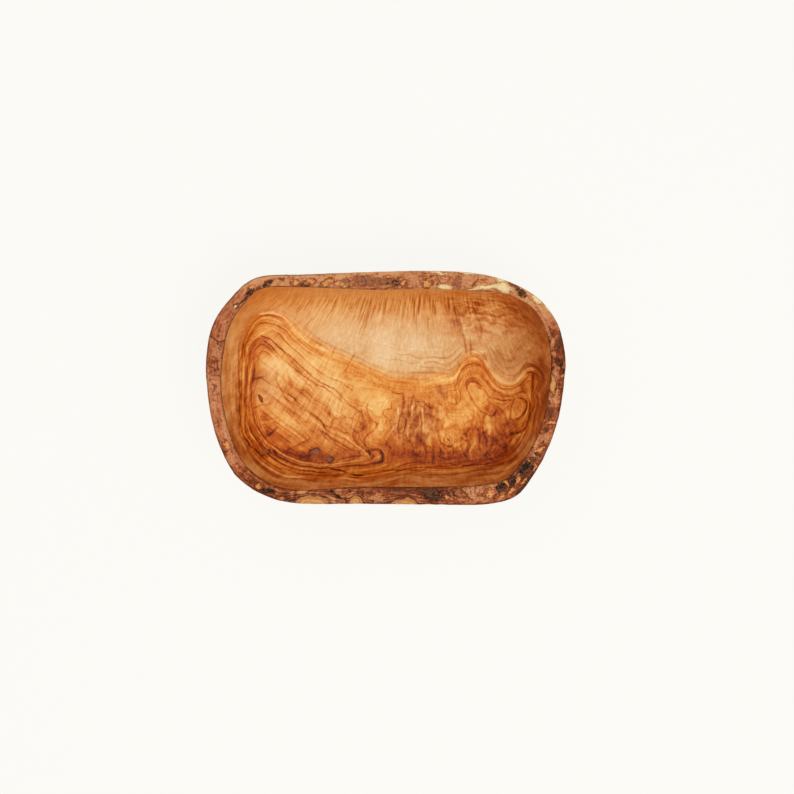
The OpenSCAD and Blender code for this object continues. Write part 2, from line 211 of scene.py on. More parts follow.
# Lines drawn in the hollow's wood: how dark or, below nought, how light, half width, then points, in
# photograph pixels. The darkest are bark that grew in.
WOOD_LINES = (
    (0.95, 1.2, (369, 450.8), (370, 453.6)), (0.66, 1.0, (366, 452), (371, 450), (376, 449.2), (380, 451)),
    (1.0, 1.2, (380, 451), (382.6, 454), (384, 457.5), (382.6, 460.6)),
    (0.7, 1.7, (382.6, 460.6), (377, 463), (370, 464.8), (360, 466), (348, 466.8), (338, 467.8)),
    (-0.4, 1.2, (379, 456), (372, 459.4), (362, 461.4), (352, 462.4)),
    (-0.5, 1.5, (386, 464.4), (375, 468.2), (362, 470.4), (350, 471)),
    (1.0, 1.2, (331, 468.6), (338, 470), (346, 472.4)),
    (1.0, 1.1, (353, 474.8), (358, 475.6), (363, 475.4)),
    (0.85, 1.0, (262, 336), (270, 339), (280, 348), (290, 356), (300, 365), (312, 376), (325, 385),
        (333, 388), (340, 394), (344, 400), (350, 405), (356, 409), (361, 412)),
    (0.8, 1.0, (264, 341), (272, 347), (285, 361), (297, 371), (306, 377), (316, 384), (326, 388),
        (335, 396), (342, 402)),
    (0.5, 1.0, (278, 333), (290, 345), (302, 356), (312, 366), (326, 376), (340, 382), (352, 390)),
    (0.35, 1.0, (284, 325), (296, 337), (308, 348), (320, 355), (332, 359), (348, 364), (366, 371),
        (384, 382)),
    (0.42, 1.2, (256, 355), (266, 365), (278, 374), (291, 385), (306, 397), (316, 405), (329, 413)),
    (0.35, 1.0, (296, 333), (306, 343), (316, 350), (323, 355), (334, 359)),
    (0.4, 1.0, (264, 423), (276, 432), (291, 443)),
    (0.35, 1.0, (259, 408), (274, 420), (288, 430), (299, 438)),
    (0.5, 1.0, (253, 380), (262, 378), (269, 383), (279, 388), (292, 397), (300, 404), (312, 415),
        (322, 422), (326, 430), (334, 434), (342, 438), (352, 443), (362, 451)),
    (0.4, 1.0, (282, 395), (295, 408), (308, 420), (318, 428), (328, 440)),
    (0.4, 1.0, (272, 412), (286, 424), (300, 434), (308, 442)),
    (0.45, 1.0, (263, 387), (275, 398), (288, 412), (300, 424)),
    (0.5, 1.8, (299, 409), (306, 416), (313, 423), (320, 429)),
    (0.45, 1.1, (330, 438), (336, 445), (345, 450)), (0.4, 1.0, (304, 431), (310, 439), (318, 445)),
    (0.35, 1.0, (318, 404), (326, 410), (333, 419), (332, 428)),
    (0.55, 1.1, (340, 397), (343, 405), (341, 413), (346, 418), (352, 419), (356, 413), (360, 411)),
    (0.5, 1.1, (362, 412), (358, 420), (354, 428), (353, 436), (358, 443)),
    (0.55, 1.1, (362, 412), (366, 416), (373, 421), (377, 424), (374, 430), (368, 434), (364, 440),
        (366, 447)),
    (0.7, 1.6, (251, 383), (255, 378), (261, 377)), (0.5, 1.4, (253, 409), (262, 405), (268, 404)),
    (0.45, 1.2, (262, 420), (270, 419), (277, 417)), (0.65, 1.6, (268, 435), (273, 432), (277, 428)),
    (0.5, 1.6, (284, 452), (298, 445), (308, 440)),
    (0.65, 1.7, (284, 450), (290, 453), (297, 455.6), (304, 456.8), (311, 455.4)),
    (-0.5, 1.1, (338, 432), (348, 438.6), (356, 445), (362, 450), (367, 454)),
    (-0.4, 0.9, (350, 434), (354, 438), (358, 442)), (-0.4, 1.3, (337, 402), (336, 412), (331, 420)),
    (0.6, 1.0, (391, 391), (394, 392), (397, 394), (400, 394.5), (402, 392.6), (404, 396)),
    (0.5, 1.7, (403.4, 394), (404, 401), (403, 408), (402, 413)),
    (0.6, 1.0, (400, 415), (398.4, 422), (397.6, 428), (398, 433), (401, 433.6), (404, 431), (406, 425),
        (407, 419)),
    (-0.6, 1.4, (397.8, 408), (397.6, 414)), (-0.5, 1.6, (396, 425), (393, 430), (390, 434), (387.6, 438)),
    (0.65, 0.9, (410.4, 406), (411, 401), (412.6, 396), (414.4, 400), (415.6, 405)),
    (-0.8, 0.9, (412.2, 406), (412, 415)), (0.5, 1.4, (408.6, 405), (409, 416)),
    (0.5, 1.3, (415.4, 406), (415.6, 418)),
    (0.6, 1.1, (416, 401), (420, 401), (424, 401), (426, 404), (428, 406), (431, 407.6)),
    (-0.7, 1.1, (422.6, 409), (422.8, 417)), (0.6, 0.9, (420.4, 415), (420.8, 424), (421.2, 433)),
    (-0.5, 0.9, (423.2, 417), (423.2, 426), (423.4, 434)), (0.5, 0.9, (425, 408), (425.2, 415)),
    (0.5, 1.0, (426, 414), (430, 415), (434, 416.6), (437, 415)),
    (0.45, 1.0, (437, 408), (437.4, 417), (438, 426)), (-0.55, 0.9, (408.6, 425), (408, 431), (407, 436)),
    (0.45, 1.0, (411, 425), (410.4, 433), (410, 440)), (0.35, 3.0, (413, 432), (416, 436)),
    (0.45, 3.6, (418, 438), (422, 442)), (0.45, 1.2, (392, 432), (388, 438), (386, 444), (390, 447)),
    (0.4, 1.2, (404, 439), (404.4, 447), (405, 453)), (0.45, 1.1, (413, 446), (414, 453), (418, 456)),
    (0.45, 1.1, (426, 444), (426.4, 452), (425, 460)), (0.4, 1.0, (433, 446), (434, 455), (433, 463)),
    (0.4, 1.0, (431, 433), (434, 436), (438, 435), (441, 440)),
    (0.5, 1.0, (392, 404), (391, 409), (385, 410), (383, 414), (388, 418), (384, 424)),
    (0.5, 1.0, (368, 403), (366, 408), (368, 415), (372, 418)), (0.7, 1.2, (361.6, 411), (362.4, 416)),
    (0.35, 1.0, (358, 421), (361, 424), (358, 427)), (0.35, 1.0, (363, 420), (365, 426), (362, 430)),
    (0.8, 2.2, (439, 386), (440, 392)), (0.6, 2.0, (443, 394), (445, 399)),
    (0.6, 1.0, (446.6, 393), (447, 400), (450, 403.4), (456, 404), (460, 402), (461, 396), (459.4, 390),
        (458.4, 385), (460, 380), (463, 376)),
    (0.45, 0.9, (447, 391), (452, 391), (457, 390)), (-0.4, 0.9, (449.6, 393), (449.8, 400)),
    (0.35, 0.9, (452.4, 393), (452.6, 401)), (0.35, 0.9, (456.4, 392), (456.4, 401)),
    (0.5, 1.1, (440.4, 404.6), (442, 406)), (-0.4, 2.6, (441, 408), (441, 416)),
    (0.35, 1.1, (446.6, 408), (447, 416), (450, 419)), (0.25, 0.9, (449, 409), (462, 409.4)),
    (0.25, 0.9, (449, 412.4), (463, 413)), (0.22, 0.9, (450, 416), (466, 416.4)),
    (0.7, 2.3, (466.6, 383.4), (470, 380.8), (474, 380.8), (477, 383.6), (480, 386.6)),
    (0.65, 1.0, (466, 386), (466.6, 390), (469, 393), (471, 398), (474, 403), (477, 407), (480, 410),
        (485, 413), (490, 416), (494, 415), (496, 411)),
    (0.55, 0.9, (480, 388), (485, 390), (487.6, 394), (488, 399), (485, 402), (482, 403.4)),
    (0.45, 1.0, (490, 404), (495, 406), (499, 408), (503, 411), (505, 414)),
    (0.35, 3.4, (499, 411), (502, 413)), (0.3, 4.0, (488, 408), (494, 411)),
    (0.55, 1.0, (490, 397), (495, 399), (503, 400), (512, 400)),
    (0.7, 1.0, (514, 400), (512, 406), (511, 412), (510, 418), (513, 419.6), (518, 418.6), (523, 415),
        (527, 409), (527, 403), (524, 399), (520, 398.6)),
    (0.5, 0.9, (521.6, 399.4), (524.4, 403)), (0.45, 2.4, (523, 386), (526, 391)),
    (0.7, 1.4, (533, 375), (533, 390), (531, 405), (529, 418), (527, 426), (524, 430), (518, 433),
        (513, 434)),
    (-0.45, 1.0, (524, 432), (518, 436), (514, 439), (511, 443)),
    (-0.5, 2.0, (487.6, 417), (488, 426), (488.6, 434)),
    (-0.5, 1.5, (474.6, 438), (475, 442), (472, 447), (469.4, 452), (471, 457)),
    (-0.35, 1.4, (466, 443), (466, 448)), (0.5, 1.0, (463, 434), (466, 433), (467.4, 436)),
    (0.4, 1.0, (461, 438), (465, 440), (469, 439)),
    (0.55, 1.0, (484, 436), (487, 441), (486, 447), (487, 452), (490, 455)),
    (0.55, 1.1, (485, 455), (489, 458), (493, 460)),
    (0.6, 1.1, (437, 427), (439, 434), (440, 440), (442, 443), (446, 446), (450, 447), (454, 444),
        (457, 441)),
    (0.45, 1.0, (441, 449), (440, 456)), (0.5, 1.1, (453, 446), (453.4, 454), (452, 458)),
    (0.55, 1.1, (461, 445), (463, 451), (465, 455), (467, 459)),
    (0.5, 1.0, (440, 457), (446, 459), (451, 459), (455, 457)),
    (0.5, 1.0, (469, 440), (470.4, 446), (468, 452)),
    (0.45, 1.1, (478, 430), (480, 437), (479, 445), (480, 452)), (0.45, 1.1, (483, 427), (484, 434)),
    (0.4, 1.0, (497, 430), (499, 434), (503, 436)),
    (0.4, 1.0, (490, 437), (495, 440), (497, 445), (494, 450)),
    (0.35, 1.0, (503, 440), (507, 445), (506, 452)), (0.95, 0.9, (446.6, 438), (449, 440.6)),
    (0.8, 0.8, (445.4, 435.4), (446.4, 436.4)), (0.5, 1.0, (452, 464), (456, 467), (460, 464)),
    (0.5, 1.0, (384, 470.4), (372, 473), (364, 474.6)),
    (0.6, 1.2, (384, 471), (398, 470), (412, 470), (421, 470.5), (427, 467.5), (440, 466.6), (449, 466.6)),
    (0.5, 1.2, (463, 466), (473, 464), (483, 462)),
    (-0.2, 1.3, (372, 371), (390, 379), (412, 381), (428, 381), (440, 378)),
    (-0.6, 1.7, (262, 313.5), (272, 312), (282, 316), (290, 325), (300, 336), (312, 345), (324, 350)),
    (0.4, 1.0, (247, 333), (254, 322), (262, 316), (270, 315), (279, 319), (288, 328)),
    (-0.5, 1.2, (248, 345), (258, 336), (268, 329), (276, 329)),
    (0.8, 1.2, (244, 345), (239.5, 362), (239, 385), (239.5, 410), (241.5, 432), (250, 446)),
    (-0.65, 1.1, (248, 345), (244, 360), (243, 380), (243, 400), (245, 420), (252, 436)),
    (-0.35, 1.0, (252, 436), (262, 448.6), (272, 456.4), (281, 461.6), (292, 466.6), (303, 469),
        (318, 470)),
    (0.6, 1.1, (250, 352), (247, 372), (246, 392), (246.5, 412), (249.5, 428), (258, 443), (268, 451.5),
        (280, 458), (292, 463.4), (305, 466.6), (320, 468), (335, 467.6)),
    (-0.5, 1.2, (253, 360), (249, 378), (248.6, 400), (251, 418), (256, 430), (263, 440), (270, 446),
        (278, 452), (287, 457), (297, 460.6), (308, 463.6), (320, 465.4), (332, 465), (343, 461.6)),
    (0.55, 0.9, (255, 365), (252, 380), (251, 395), (252, 412), (257, 428), (264, 437), (272, 445),
        (280, 450.6), (288, 454.4), (298, 458.4), (310, 461.4), (322, 462.6)),
    (0.55, 1.1, (252, 447), (264, 459), (280, 468), (300, 474), (325, 475.6), (345, 475)),
    (0.6, 1.0, (258, 445), (270, 457), (286, 466), (305, 471), (325, 472)),
    (0.45, 1.2, (355, 353), (350, 362), (344, 373)), (0.3, 1.4, (337, 345), (331, 356), (324, 366)),
    (0.4, 1.0, (314, 414), (321, 420), (325, 428), (332, 433), (339, 437)),
    (0.5, 1.0, (322, 431), (328, 434), (333, 440), (342, 445), (352, 450)),
    (0.45, 1.5, (320, 449), (325, 452.6), (329, 456)), (0.9, 1.3, (273.6, 451.4), (276, 454)),
    (0.4, 3.4, (317, 454), (321, 457), (325, 461)),
    (0.3, 2.6, (284, 388), (296, 399), (306, 409), (316, 418), (324, 426), (332, 433)),
    (0.2, 3.4, (322, 427), (328, 432), (334, 436)), (0.3, 3.0, (284, 356), (291, 363), (298, 370)),
    (0.35, 1.0, (290, 360), (297, 368), (303, 374), (310, 381), (318, 387)),
    (0.35, 1.0, (270, 350), (280, 358), (290, 367), (300, 377), (312, 388)),
    (0.3, 1.0, (272, 395), (284, 405), (296, 416), (306, 426), (316, 434)),
    (0.5, 1.6, (309, 454), (309.4, 449.6), (313, 446.8), (318.6, 447)),
    (0.6, 1.4, (333.6, 457), (334, 461), (330, 464)), (0.5, 1.4, (263, 455.4), (267, 456.4)),
    (0.5, 1.1, (330, 462), (340, 459), (352, 456), (364, 456)),
    (0.45, 1.0, (395, 354), (402, 355), (408, 353.6), (414, 357), (422, 358.6), (430, 357), (440, 358),
        (447, 358), (453, 354), (459, 348)),
    (0.42, 1.0, (425, 363), (435, 362.4), (442, 364.4), (448, 365.6), (455, 361), (462, 353)),
    (-0.2, 1.5, (425, 360.4), (436, 360), (444, 362), (450, 361), (457, 355), (463, 349)),
    (0.42, 0.9, (420, 367), (440, 368.4), (450, 370), (459, 365)),
    (0.36, 0.9, (412, 372), (428, 373), (447, 374)),
    (0.32, 0.9, (380, 357), (388, 360), (398, 359), (410, 363), (420, 362)),
    (0.4, 1.0, (488, 350), (493, 362), (499, 370), (506, 375), (514, 376), (520, 372), (525, 364)),
    (0.35, 1.0, (491, 349), (498, 361), (505, 368), (513, 369), (519, 364)),
    (0.3, 1.0, (496, 350), (503, 359), (510, 362), (516, 357)),
    (-0.6, 2.0, (486, 362), (491, 371), (498, 379), (506, 382.6), (514, 382.6), (521, 378), (526, 373)),
    (0.55, 1.1, (484, 366), (489, 376), (495, 383), (503, 388.5), (512, 389), (520, 385), (527, 378)),
    (0.5, 1.7, (486, 381), (494, 390), (503, 395), (512, 396), (520, 392)),
    (0.5, 1.1, (456, 386), (458, 377), (462, 370), (468, 365), (475, 363.6), (481, 366)),
    (-0.35, 1.8, (447, 383), (455, 377), (459, 370), (464, 361), (470, 357), (478, 358)),
    (0.7, 1.4, (464, 335), (465, 344), (466, 353)), (0.6, 1.3, (470, 340), (470.5, 347), (470, 354)),
    (0.5, 1.6, (480, 322), (482, 329), (480, 337)), (0.4, 1.3, (484, 352), (486, 359)),
    (0.3, 4.0, (446, 302), (450, 314), (455, 328)), (0.3, 4.5, (455, 298), (459, 312), (459, 330)),
    (-0.5, 1.8, (462, 320), (465, 332), (468, 338)), (0.4, 3.4, (427, 293), (428, 303), (432, 311)),
    (0.45, 1.5, (414, 294), (412, 308)), (0.4, 1.5, (420, 295), (419, 306)),
    (-0.5, 4.0, (472, 338), (482, 339)), (-0.5, 2.0, (474, 352), (484, 352)),
)

# Lines of more than this half width are painted as they are. Thinner ones are kept in layers, in which
# lines lie this many pixels apart, and fade out this many half widths away.
WIDE_LINE = 1.9
LINE_LAYERS = 12
LINE_GAP = 7.0
LINE_FADE = (2.0, 3.4)

# Strength from which a drawn line is bark that grew in, and is drawn with an even hand.
INGROWN = 0.9

# Values that the wood's material reads at each point: those of the figure, then each layer's distance
# from its lines and their strength.
WOOD_VALUES = ("ring", "tone", "stroke", "across", "streaks", "burl", "curl", "cream", "lines", "drift",
               "loose", "hems")
LINE_VALUES = tuple(("off_%d" % number, "force_%d" % number) for number in range(LINE_LAYERS))

# Rings on the outside lie round a pith that runs along the bowl: its y and z, how far apart they are, and
# how many lie between the pith and ring 0.
PITH = (12 * MM, -45 * MM)
PITH_SPACING = 7 * MM
PITH_RINGS = 14

# Kinds of patch on the rim. Rosy is smooth light bark, tan is wood cut by the chisel, pale is sapwood
# under worn bark, dark is stained bark, ashen is weathered bark, worn is orange inner bark and crust is
# black outer bark.
RIM_KINDS = ("rosy", "tan", "pale", "dark", "ashen", "worn", "crust")

# Patches on the rim: kind, place, half sizes and turn, in photograph pixels and degrees.
RIM_PATCHES = (
    ("worn", 252, 287.5, 4.8, 2.4, 28), ("crust", 267.5, 283.6, 5.4, 2.4, 32),
    ("crust", 249, 293, 4.6, 2.4, 25), ("dark", 259, 287.5, 7.0, 1.6, 34), ("dark", 281, 279, 3.0, 1.8, 0),
    ("rosy", 284, 284, 6.0, 4.0, 0), ("worn", 295, 282.5, 5.6, 3.4, -18), ("dark", 302, 284, 3.6, 3.2, 0),
    ("worn", 311, 281, 4.6, 3.0, 0), ("dark", 307, 285.5, 4.4, 2.0, 0), ("worn", 327, 282.6, 7.4, 4.4, 24),
    ("worn", 337, 284, 2.4, 3.6, -20), ("ashen", 345, 281, 6.0, 3.6, 0), ("worn", 345, 286.2, 5.4, 1.6, 0),
    ("ashen", 365, 281, 14.0, 6.4, 0), ("ashen", 380, 282, 8.0, 5.0, 0), ("ashen", 395, 283, 10.0, 5.0, 0),
    ("worn", 392, 277.6, 10.0, 1.6, 0), ("crust", 396, 284, 5.0, 2.6, 0), ("worn", 404, 283.4, 3.0, 4.4, 0),
    ("rosy", 414, 280, 8.0, 7.0, 0), ("worn", 427, 283, 5.0, 4.4, 0), ("ashen", 431, 282, 3.0, 3.6, 0),
    ("rosy", 444, 279, 7.0, 5.0, 0), ("ashen", 458, 282, 3.6, 7.0, 0), ("pale", 445, 287.4, 8.0, 3.6, -6),
    ("rosy", 466, 280, 13.0, 7.0, 0), ("dark", 474, 284, 5.0, 1.4, 45), ("pale", 473, 289.4, 11.0, 1.3, 3),
    ("pale", 488, 287.4, 16.0, 3.0, 6), ("pale", 503, 288, 11.0, 5.6, -24),
    ("pale", 501, 280.0, 6.0, 4.4, -20), ("pale", 470, 273.2, 18.0, 1.5, -4),
    ("pale", 440, 272.6, 10.0, 1.3, 0), ("crust", 522, 292, 6.0, 3.2, -36),
    ("dark", 514, 286, 6.0, 3.4, -35), ("pale", 536, 299.6, 6.5, 4.0, -42),
    ("rosy", 547, 313, 13.0, 6.0, -55), ("pale", 549, 309, 12.0, 1.6, -50),
    ("dark", 553, 333.5, 4.0, 4.0, 0), ("rosy", 552, 342, 2.4, 4.4, 0), ("dark", 560, 342, 4.4, 12.0, -4),
    ("rosy", 554, 353, 4.0, 2.8, 0), ("crust", 559.5, 362, 3.0, 4.4, 20), ("worn", 562, 375, 1.8, 3.4, -20),
    ("rosy", 556, 372, 3.4, 6.0, 0), ("tan", 553, 384.5, 3.0, 10.0, 4), ("rosy", 547.6, 402, 2.0, 9.0, -24),
    ("rosy", 557, 398, 4.0, 8.0, 0), ("dark", 551, 413, 5.6, 6.6, 0), ("worn", 550.5, 423.6, 6.0, 2.2, 10),
    ("dark", 547, 430, 4.4, 2.6, 0), ("rosy", 545, 438, 5.4, 6.6, -15), ("worn", 540, 450.5, 7.2, 3.6, 32),
    ("crust", 539, 455.5, 3.0, 2.2, 20), ("crust", 533, 460, 3.4, 3.0, 30), ("worn", 530, 462, 1.8, 2.0, 0),
    ("crust", 524.5, 469, 8.0, 6.2, 40), ("worn", 534, 467, 2.0, 5.4, -25),
    ("worn", 518, 477.5, 2.4, 5.6, -12), ("crust", 512.5, 481, 3.4, 7.0, -12),
    ("worn", 507, 482, 2.4, 5.0, 28), ("crust", 501.5, 487.5, 5.6, 5.0, 30),
    ("worn", 490, 494, 5.8, 5.2, 0), ("worn", 513, 489.5, 7.0, 2.2, 38), ("worn", 501, 496, 5.0, 1.8, 12),
    ("worn", 524, 480, 5.0, 1.8, 48), ("rosy", 467, 491.5, 6.6, 3.4, -35), ("rosy", 476, 490, 9.0, 3.6, 0),
    ("rosy", 473, 496, 6.0, 5.6, 0), ("crust", 432, 494, 10.0, 5.4, -12), ("tan", 463, 490, 1.6, 3.2, 30),
    ("worn", 446, 496.5, 1.5, 4.6, 40), ("worn", 450.5, 495, 1.4, 5.0, 40),
    ("crust", 448.4, 494, 1.2, 5.4, 40), ("crust", 453.4, 493, 1.2, 5.4, 40),
    ("worn", 455.6, 494.6, 1.2, 4.0, 40), ("dark", 398, 490, 22.0, 3.0, -3),
    ("dark", 406, 496.5, 13.0, 1.6, -8), ("tan", 404, 505, 14.5, 7.0, 0), ("dark", 370, 493, 5.0, 3.0, 0),
    ("rosy", 377, 499, 9.0, 4.0, 0), ("tan", 356, 504, 6.6, 9.4, 0), ("tan", 312, 505, 17.0, 9.8, 0),
    ("tan", 302, 491.4, 6.6, 2.8, 22), ("crust", 268, 490.6, 7.4, 2.4, -2),
    ("dark", 284, 493, 5.6, 1.8, 12), ("worn", 258, 485, 4.4, 2.6, -38), ("dark", 247, 481, 5.0, 1.4, -35),
    ("worn", 227, 444, 3.2, 5.0, 20), ("dark", 225, 452, 4.0, 2.0, 0), ("pale", 235.6, 306.5, 2.0, 1.8, 0),
    ("crust", 235.4, 303.6, 3.2, 1.6, 30), ("dark", 244, 299, 4.0, 1.8, 38),
    ("rosy", 221, 375, 3.0, 26.0, 0), ("rosy", 224, 425, 3.0, 24.0, 10), ("rosy", 214, 382, 3.4, 7.0, 0),
    ("pale", 217.6, 345.6, 2.0, 2.4, 0), ("rosy", 232, 458, 3.0, 16.0, 24),
    ("rosy", 231, 464, 5.0, 3.0, 20), ("dark", 330, 491, 8.0, 2.2, 0), ("rosy", 216, 352, 4.0, 8.0, 0),
)

# Cracks in the rim's bark: half width, then points, in photograph pixels. CRACK_FADE gives the half
# widths between which they fade out.
RIM_CRACKS = (
    (0.6, (211, 336.5), (215, 339), (218, 342), (221, 341.5), (225, 340)),
    (0.5, (218, 342), (217, 346), (219.5, 349.5)),
    (1.0, (331, 487), (331.5, 492), (334, 496), (340, 498), (346, 499), (346.5, 503)),
    (0.5, (209, 366), (214, 368), (216, 372)), (0.45, (212, 383), (215, 387), (213.5, 391)),
    (0.7, (560, 364), (564, 374)), (0.45, (209, 373), (213, 370.6), (217, 369)),
    (0.45, (211, 385), (215, 384.4), (217, 387)), (0.4, (212, 392), (215, 390)),
    (0.4, (212, 400), (216, 401)), (0.55, (461, 487.6), (464, 492), (468, 496.6), (473, 501)),
    (0.35, (470, 490), (471, 495)), (0.35, (475, 489.4), (475.4, 494)), (0.35, (480, 489), (479, 493)),
    (0.3, (477, 496), (476, 499)), (0.45, (212, 376), (216, 374.6), (220, 376)),
    (0.4, (209, 380), (213, 379)), (0.4, (214, 395), (219, 394)), (0.4, (211, 356), (216, 358)),
    (0.4, (213, 362), (219, 361)), (0.35, (553, 336), (557, 340), (556, 346)),
    (0.35, (555, 349), (559, 352)), (0.35, (346, 277), (350, 281), (348, 286)),
    (0.35, (363, 276), (366, 281), (364, 287)), (0.35, (386, 279), (391, 277.6), (398, 278)),
    (0.35, (437, 276), (440, 281), (437, 285)), (0.4, (425, 279), (431, 278)),
    (0.4, (214, 424), (218, 422)), (0.8, (248, 296), (240, 303), (236, 308.5)),
)
CRACK_FADE = (0.3, 1.5)

# How much lighter or, below nought, darker the bark is on each stretch of the rim, and the shares of half
# the length and half the width between which that comes in.
RIM_SHADES = (
    ("right", -0.24, ((0.6, 0.95),), ((0.7, 0.3),)),
    ("front", -0.21, (), ((-0.5, -0.9),)),
    ("left, to the back", -0.20, ((-0.75, -0.95),), ((-0.1, 0.3),)),
    ("left, to the front", -0.045, ((-0.75, -0.95),), ((0.0, -0.3),)),
    ("middle of the back", 0.08, ((-0.9, -0.6), (0.9, 0.6)), ((0.7, 0.95),)),
    ("left of the back", 0.10, ((-0.2, -0.5),), ((0.75, 0.95),)),
    ("right front corner", -0.20, ((0.55, 0.8),), ((-0.5, -0.85),)),
    ("left front corner", -0.08, ((-0.6, -0.85),), ((-0.35, -0.7),)),
)

# Black outer bark: place, half sizes and turn in photograph pixels and degrees, then how weathered it is.
BARK_PATCHES = (
    (267.5, 284.2, 5.4, 2.2, 28, 0.4), (250, 292.5, 5.4, 2.2, 34, 0.2), (394, 283.5, 7.4, 3.0, 0, 0.7),
    (521, 294, 5.6, 3.0, -38, 0.5), (557, 346, 3.2, 4.6, 20, 0.7), (560, 362, 3.4, 5.6, 25, 0.4),
    (525, 468.5, 7.4, 5.0, 40, 0.0), (513, 480, 2.6, 5.8, -8, 0.0), (500.5, 487, 5.0, 3.4, 20, 0.0),
    (434, 495, 8.4, 4.0, 0, 0.1), (268, 491.0, 7.0, 2.0, -8, 0.0), (336, 495, 6.4, 1.7, -36, 0.2),
)

# Dead knots: node, place of the middle, half length and half width in millimetres, turn in degrees, how
# light the middle is, then the side where old bark shows most, in degrees anticlockwise from +X.
KNOTS = (
    ("slit_knot", -109, -9, 4.2, 1.6, -65, 0.3, 200),
    ("corner_knot", -104, -55, 3.4, 2.4, 10, 0.7, -15),
    ("floor_knot_large", -61, -56, 5.5, 4.0, -10, 0.9, 110),
    ("floor_knot_small", -50, -62, 4.6, 3.4, -30, 0.8, -25),
)

# Colours: name, sRGB code and where it shows.
COLOURS = (
    ("umber", "#5E2005", "Darkest ring lines"),
    ("rust", "#9C3B06", "Dark rings and stained walls"),
    ("orange", "#C5641A", "Darker heartwood"),
    ("amber", "#DE8C37", "Middle of the heartwood"),
    ("gold", "#EDB25E", "Lighter heartwood"),
    ("straw", "#F5CC84", "Lightest heartwood"),
    ("tan", "#BC7436", "Darkest of the plain wood"),
    ("sand", "#D6A061", "Middle of the plain wood"),
    ("cream", "#E7C28F", "Lighter plain wood"),
    ("ivory", "#F2D8AE", "Lightest plain wood"),
    ("bark", "#BA6F47", "Inner bark on the rim"),
    ("bark_light", "#D49865", "Lighter inner bark"),
    ("bark_shade", "#853C12", "Stained inner bark"),
    # bark_dark is also the painted shade along both edges of the inner bark
    ("bark_dark", "#451D0A", "Cracks and edges of the inner bark"),
    ("cut", "#D79C60", "Wood of the rim cut by the chisel"),
    ("worn", "#E79A57", "Orange under-layer of the bark"),
    ("sapwood", "#EED6A2", "Pale wood under worn bark"),
    ("sapwood_shade", "#C9955C", "Shaded pale wood"),
    ("char", "#1A110C", "Blackest flakes of the outer bark"),
    ("crust", "#2A150B", "Black outer bark"),
    ("crust_light", "#6B4024", "Weathered outer bark"),
    ("ash", "#7E5640", "Weathered inner bark"),
    ("knot", "#9A6340", "Dead knot wood"),
    ("floor", "#FCFBF7", "Paper of the floor under the bowl"),
    ("floor_fibre", "#FBFAF6", "Fibre in the floor's paper"),
)

# How far the patterns of the wood and of the bark are lifted, to fall in the middle of their colours
WOOD_LIFT = 0.18
BARK_LIFT = 0.555

# Settings of nodes that are used again and again
SMOOTH = {"interpolation_type": "SMOOTHSTEP"}
COLOUR_MIX = {"data_type": "RGBA", "output": 2}


def linear(code):
    """An sRGB hex colour as linear red, green and blue."""
    channels = np.array([int(code[i:i + 2], 16) for i in (1, 3, 5)]) / 255
    return tuple(np.where(channels <= 0.04045, channels / 12.92, ((channels + 0.055) / 1.055) ** 2.4))


class BowlSizes(bpy.types.PropertyGroup):
    """Sizes of the bowl that its outline and the frame's box don't give."""

    height: bpy.props.FloatProperty(
        name="Height", description="Height of the rim at the middle of its ends",
        default=76 * MM, unit="LENGTH")
    floor: bpy.props.FloatProperty(
        name="Floor", description="Thickness of the floor at its middle", default=13 * MM, unit="LENGTH")
    fall: bpy.props.FloatProperty(
        name="Fall", description="How far the log's round back falls to the long sides",
        default=9 * MM, unit="LENGTH")
    taper: bpy.props.FloatProperty(
        name="Taper", description="How much higher the rim is at +X than at -X",
        default=3 * MM, unit="LENGTH")
    skin: bpy.props.FloatProperty(
        name="Skin", description="Thickness of the inner bark on the rim", default=2 * MM, unit="LENGTH")
    foot_share: bpy.props.FloatProperty(
        name="Foot", description="Flat foot as a share of the rim's outline", default=0.7, subtype="FACTOR")
    foot_angle: bpy.props.FloatProperty(
        name="Foot angle", description="Slope at which the outer wall leaves the foot",
        default=math.radians(30), subtype="ANGLE")
    hollow_power: bpy.props.FloatProperty(
        name="Hollow power", description="Power of the hollow's curve, higher for steeper walls", default=8)
    knot_depth: bpy.props.FloatProperty(
        name="Knot depth", description="Depth of the dead knots", default=5 * MM, unit="LENGTH")


class BowlColours(bpy.types.PropertyGroup):
    """Colours of the wood, the bark and the floor."""

    __annotations__ = {
        name: bpy.props.FloatVectorProperty(
            name=name.replace("_", " ").capitalize(), description=place, default=linear(code),
            size=3, subtype="COLOR")
        for name, code, place in COLOURS}


class StageSettings(bpy.types.PropertyGroup):
    """Light on the stage."""

    world: bpy.props.FloatProperty(
        name="World", description="Strength of the even light from all round", default=0.6)
    key: bpy.props.FloatProperty(
        name="Key", description="Power of the softbox in front of the bowl", default=14.0, subtype="POWER")
    fill: bpy.props.FloatProperty(
        name="Fill", description="Power of the softbox behind", default=5.0, subtype="POWER")


# Shared helpers

def add_node(tree, kind, links=(), output=0, stops=(), **settings):
    """Add a shader node and give one of its outputs, or the node itself where output is None.

    Links are values or other outputs for its sockets, in order or by socket. Stops are the places and
    colours of a ramp, and settings are the node's own properties.
    """
    node = tree.nodes.new("ShaderNode" + kind)
    for name, value in settings.items():
        setattr(node, name, value)
    for _ in stops[2:]:
        node.color_ramp.elements.new(0.5)
    for number, (place, colour) in enumerate(stops):
        node.color_ramp.elements[number].position = place
        node.color_ramp.elements[number].color = (*colour, 1)
    for socket, value in links.items() if isinstance(links, dict) else enumerate(links):
        if isinstance(value, bpy.types.NodeSocket):
            tree.links.new(value, node.inputs[socket])
        else:
            node.inputs[socket].default_value = value
    return node if output is None else node.outputs[output]


def new_material(name):
    """An empty node material, with its tree."""
    material = bpy.data.materials.new(name)
    material.use_nodes = True
    material.node_tree.nodes.clear()
    return material, material.node_tree


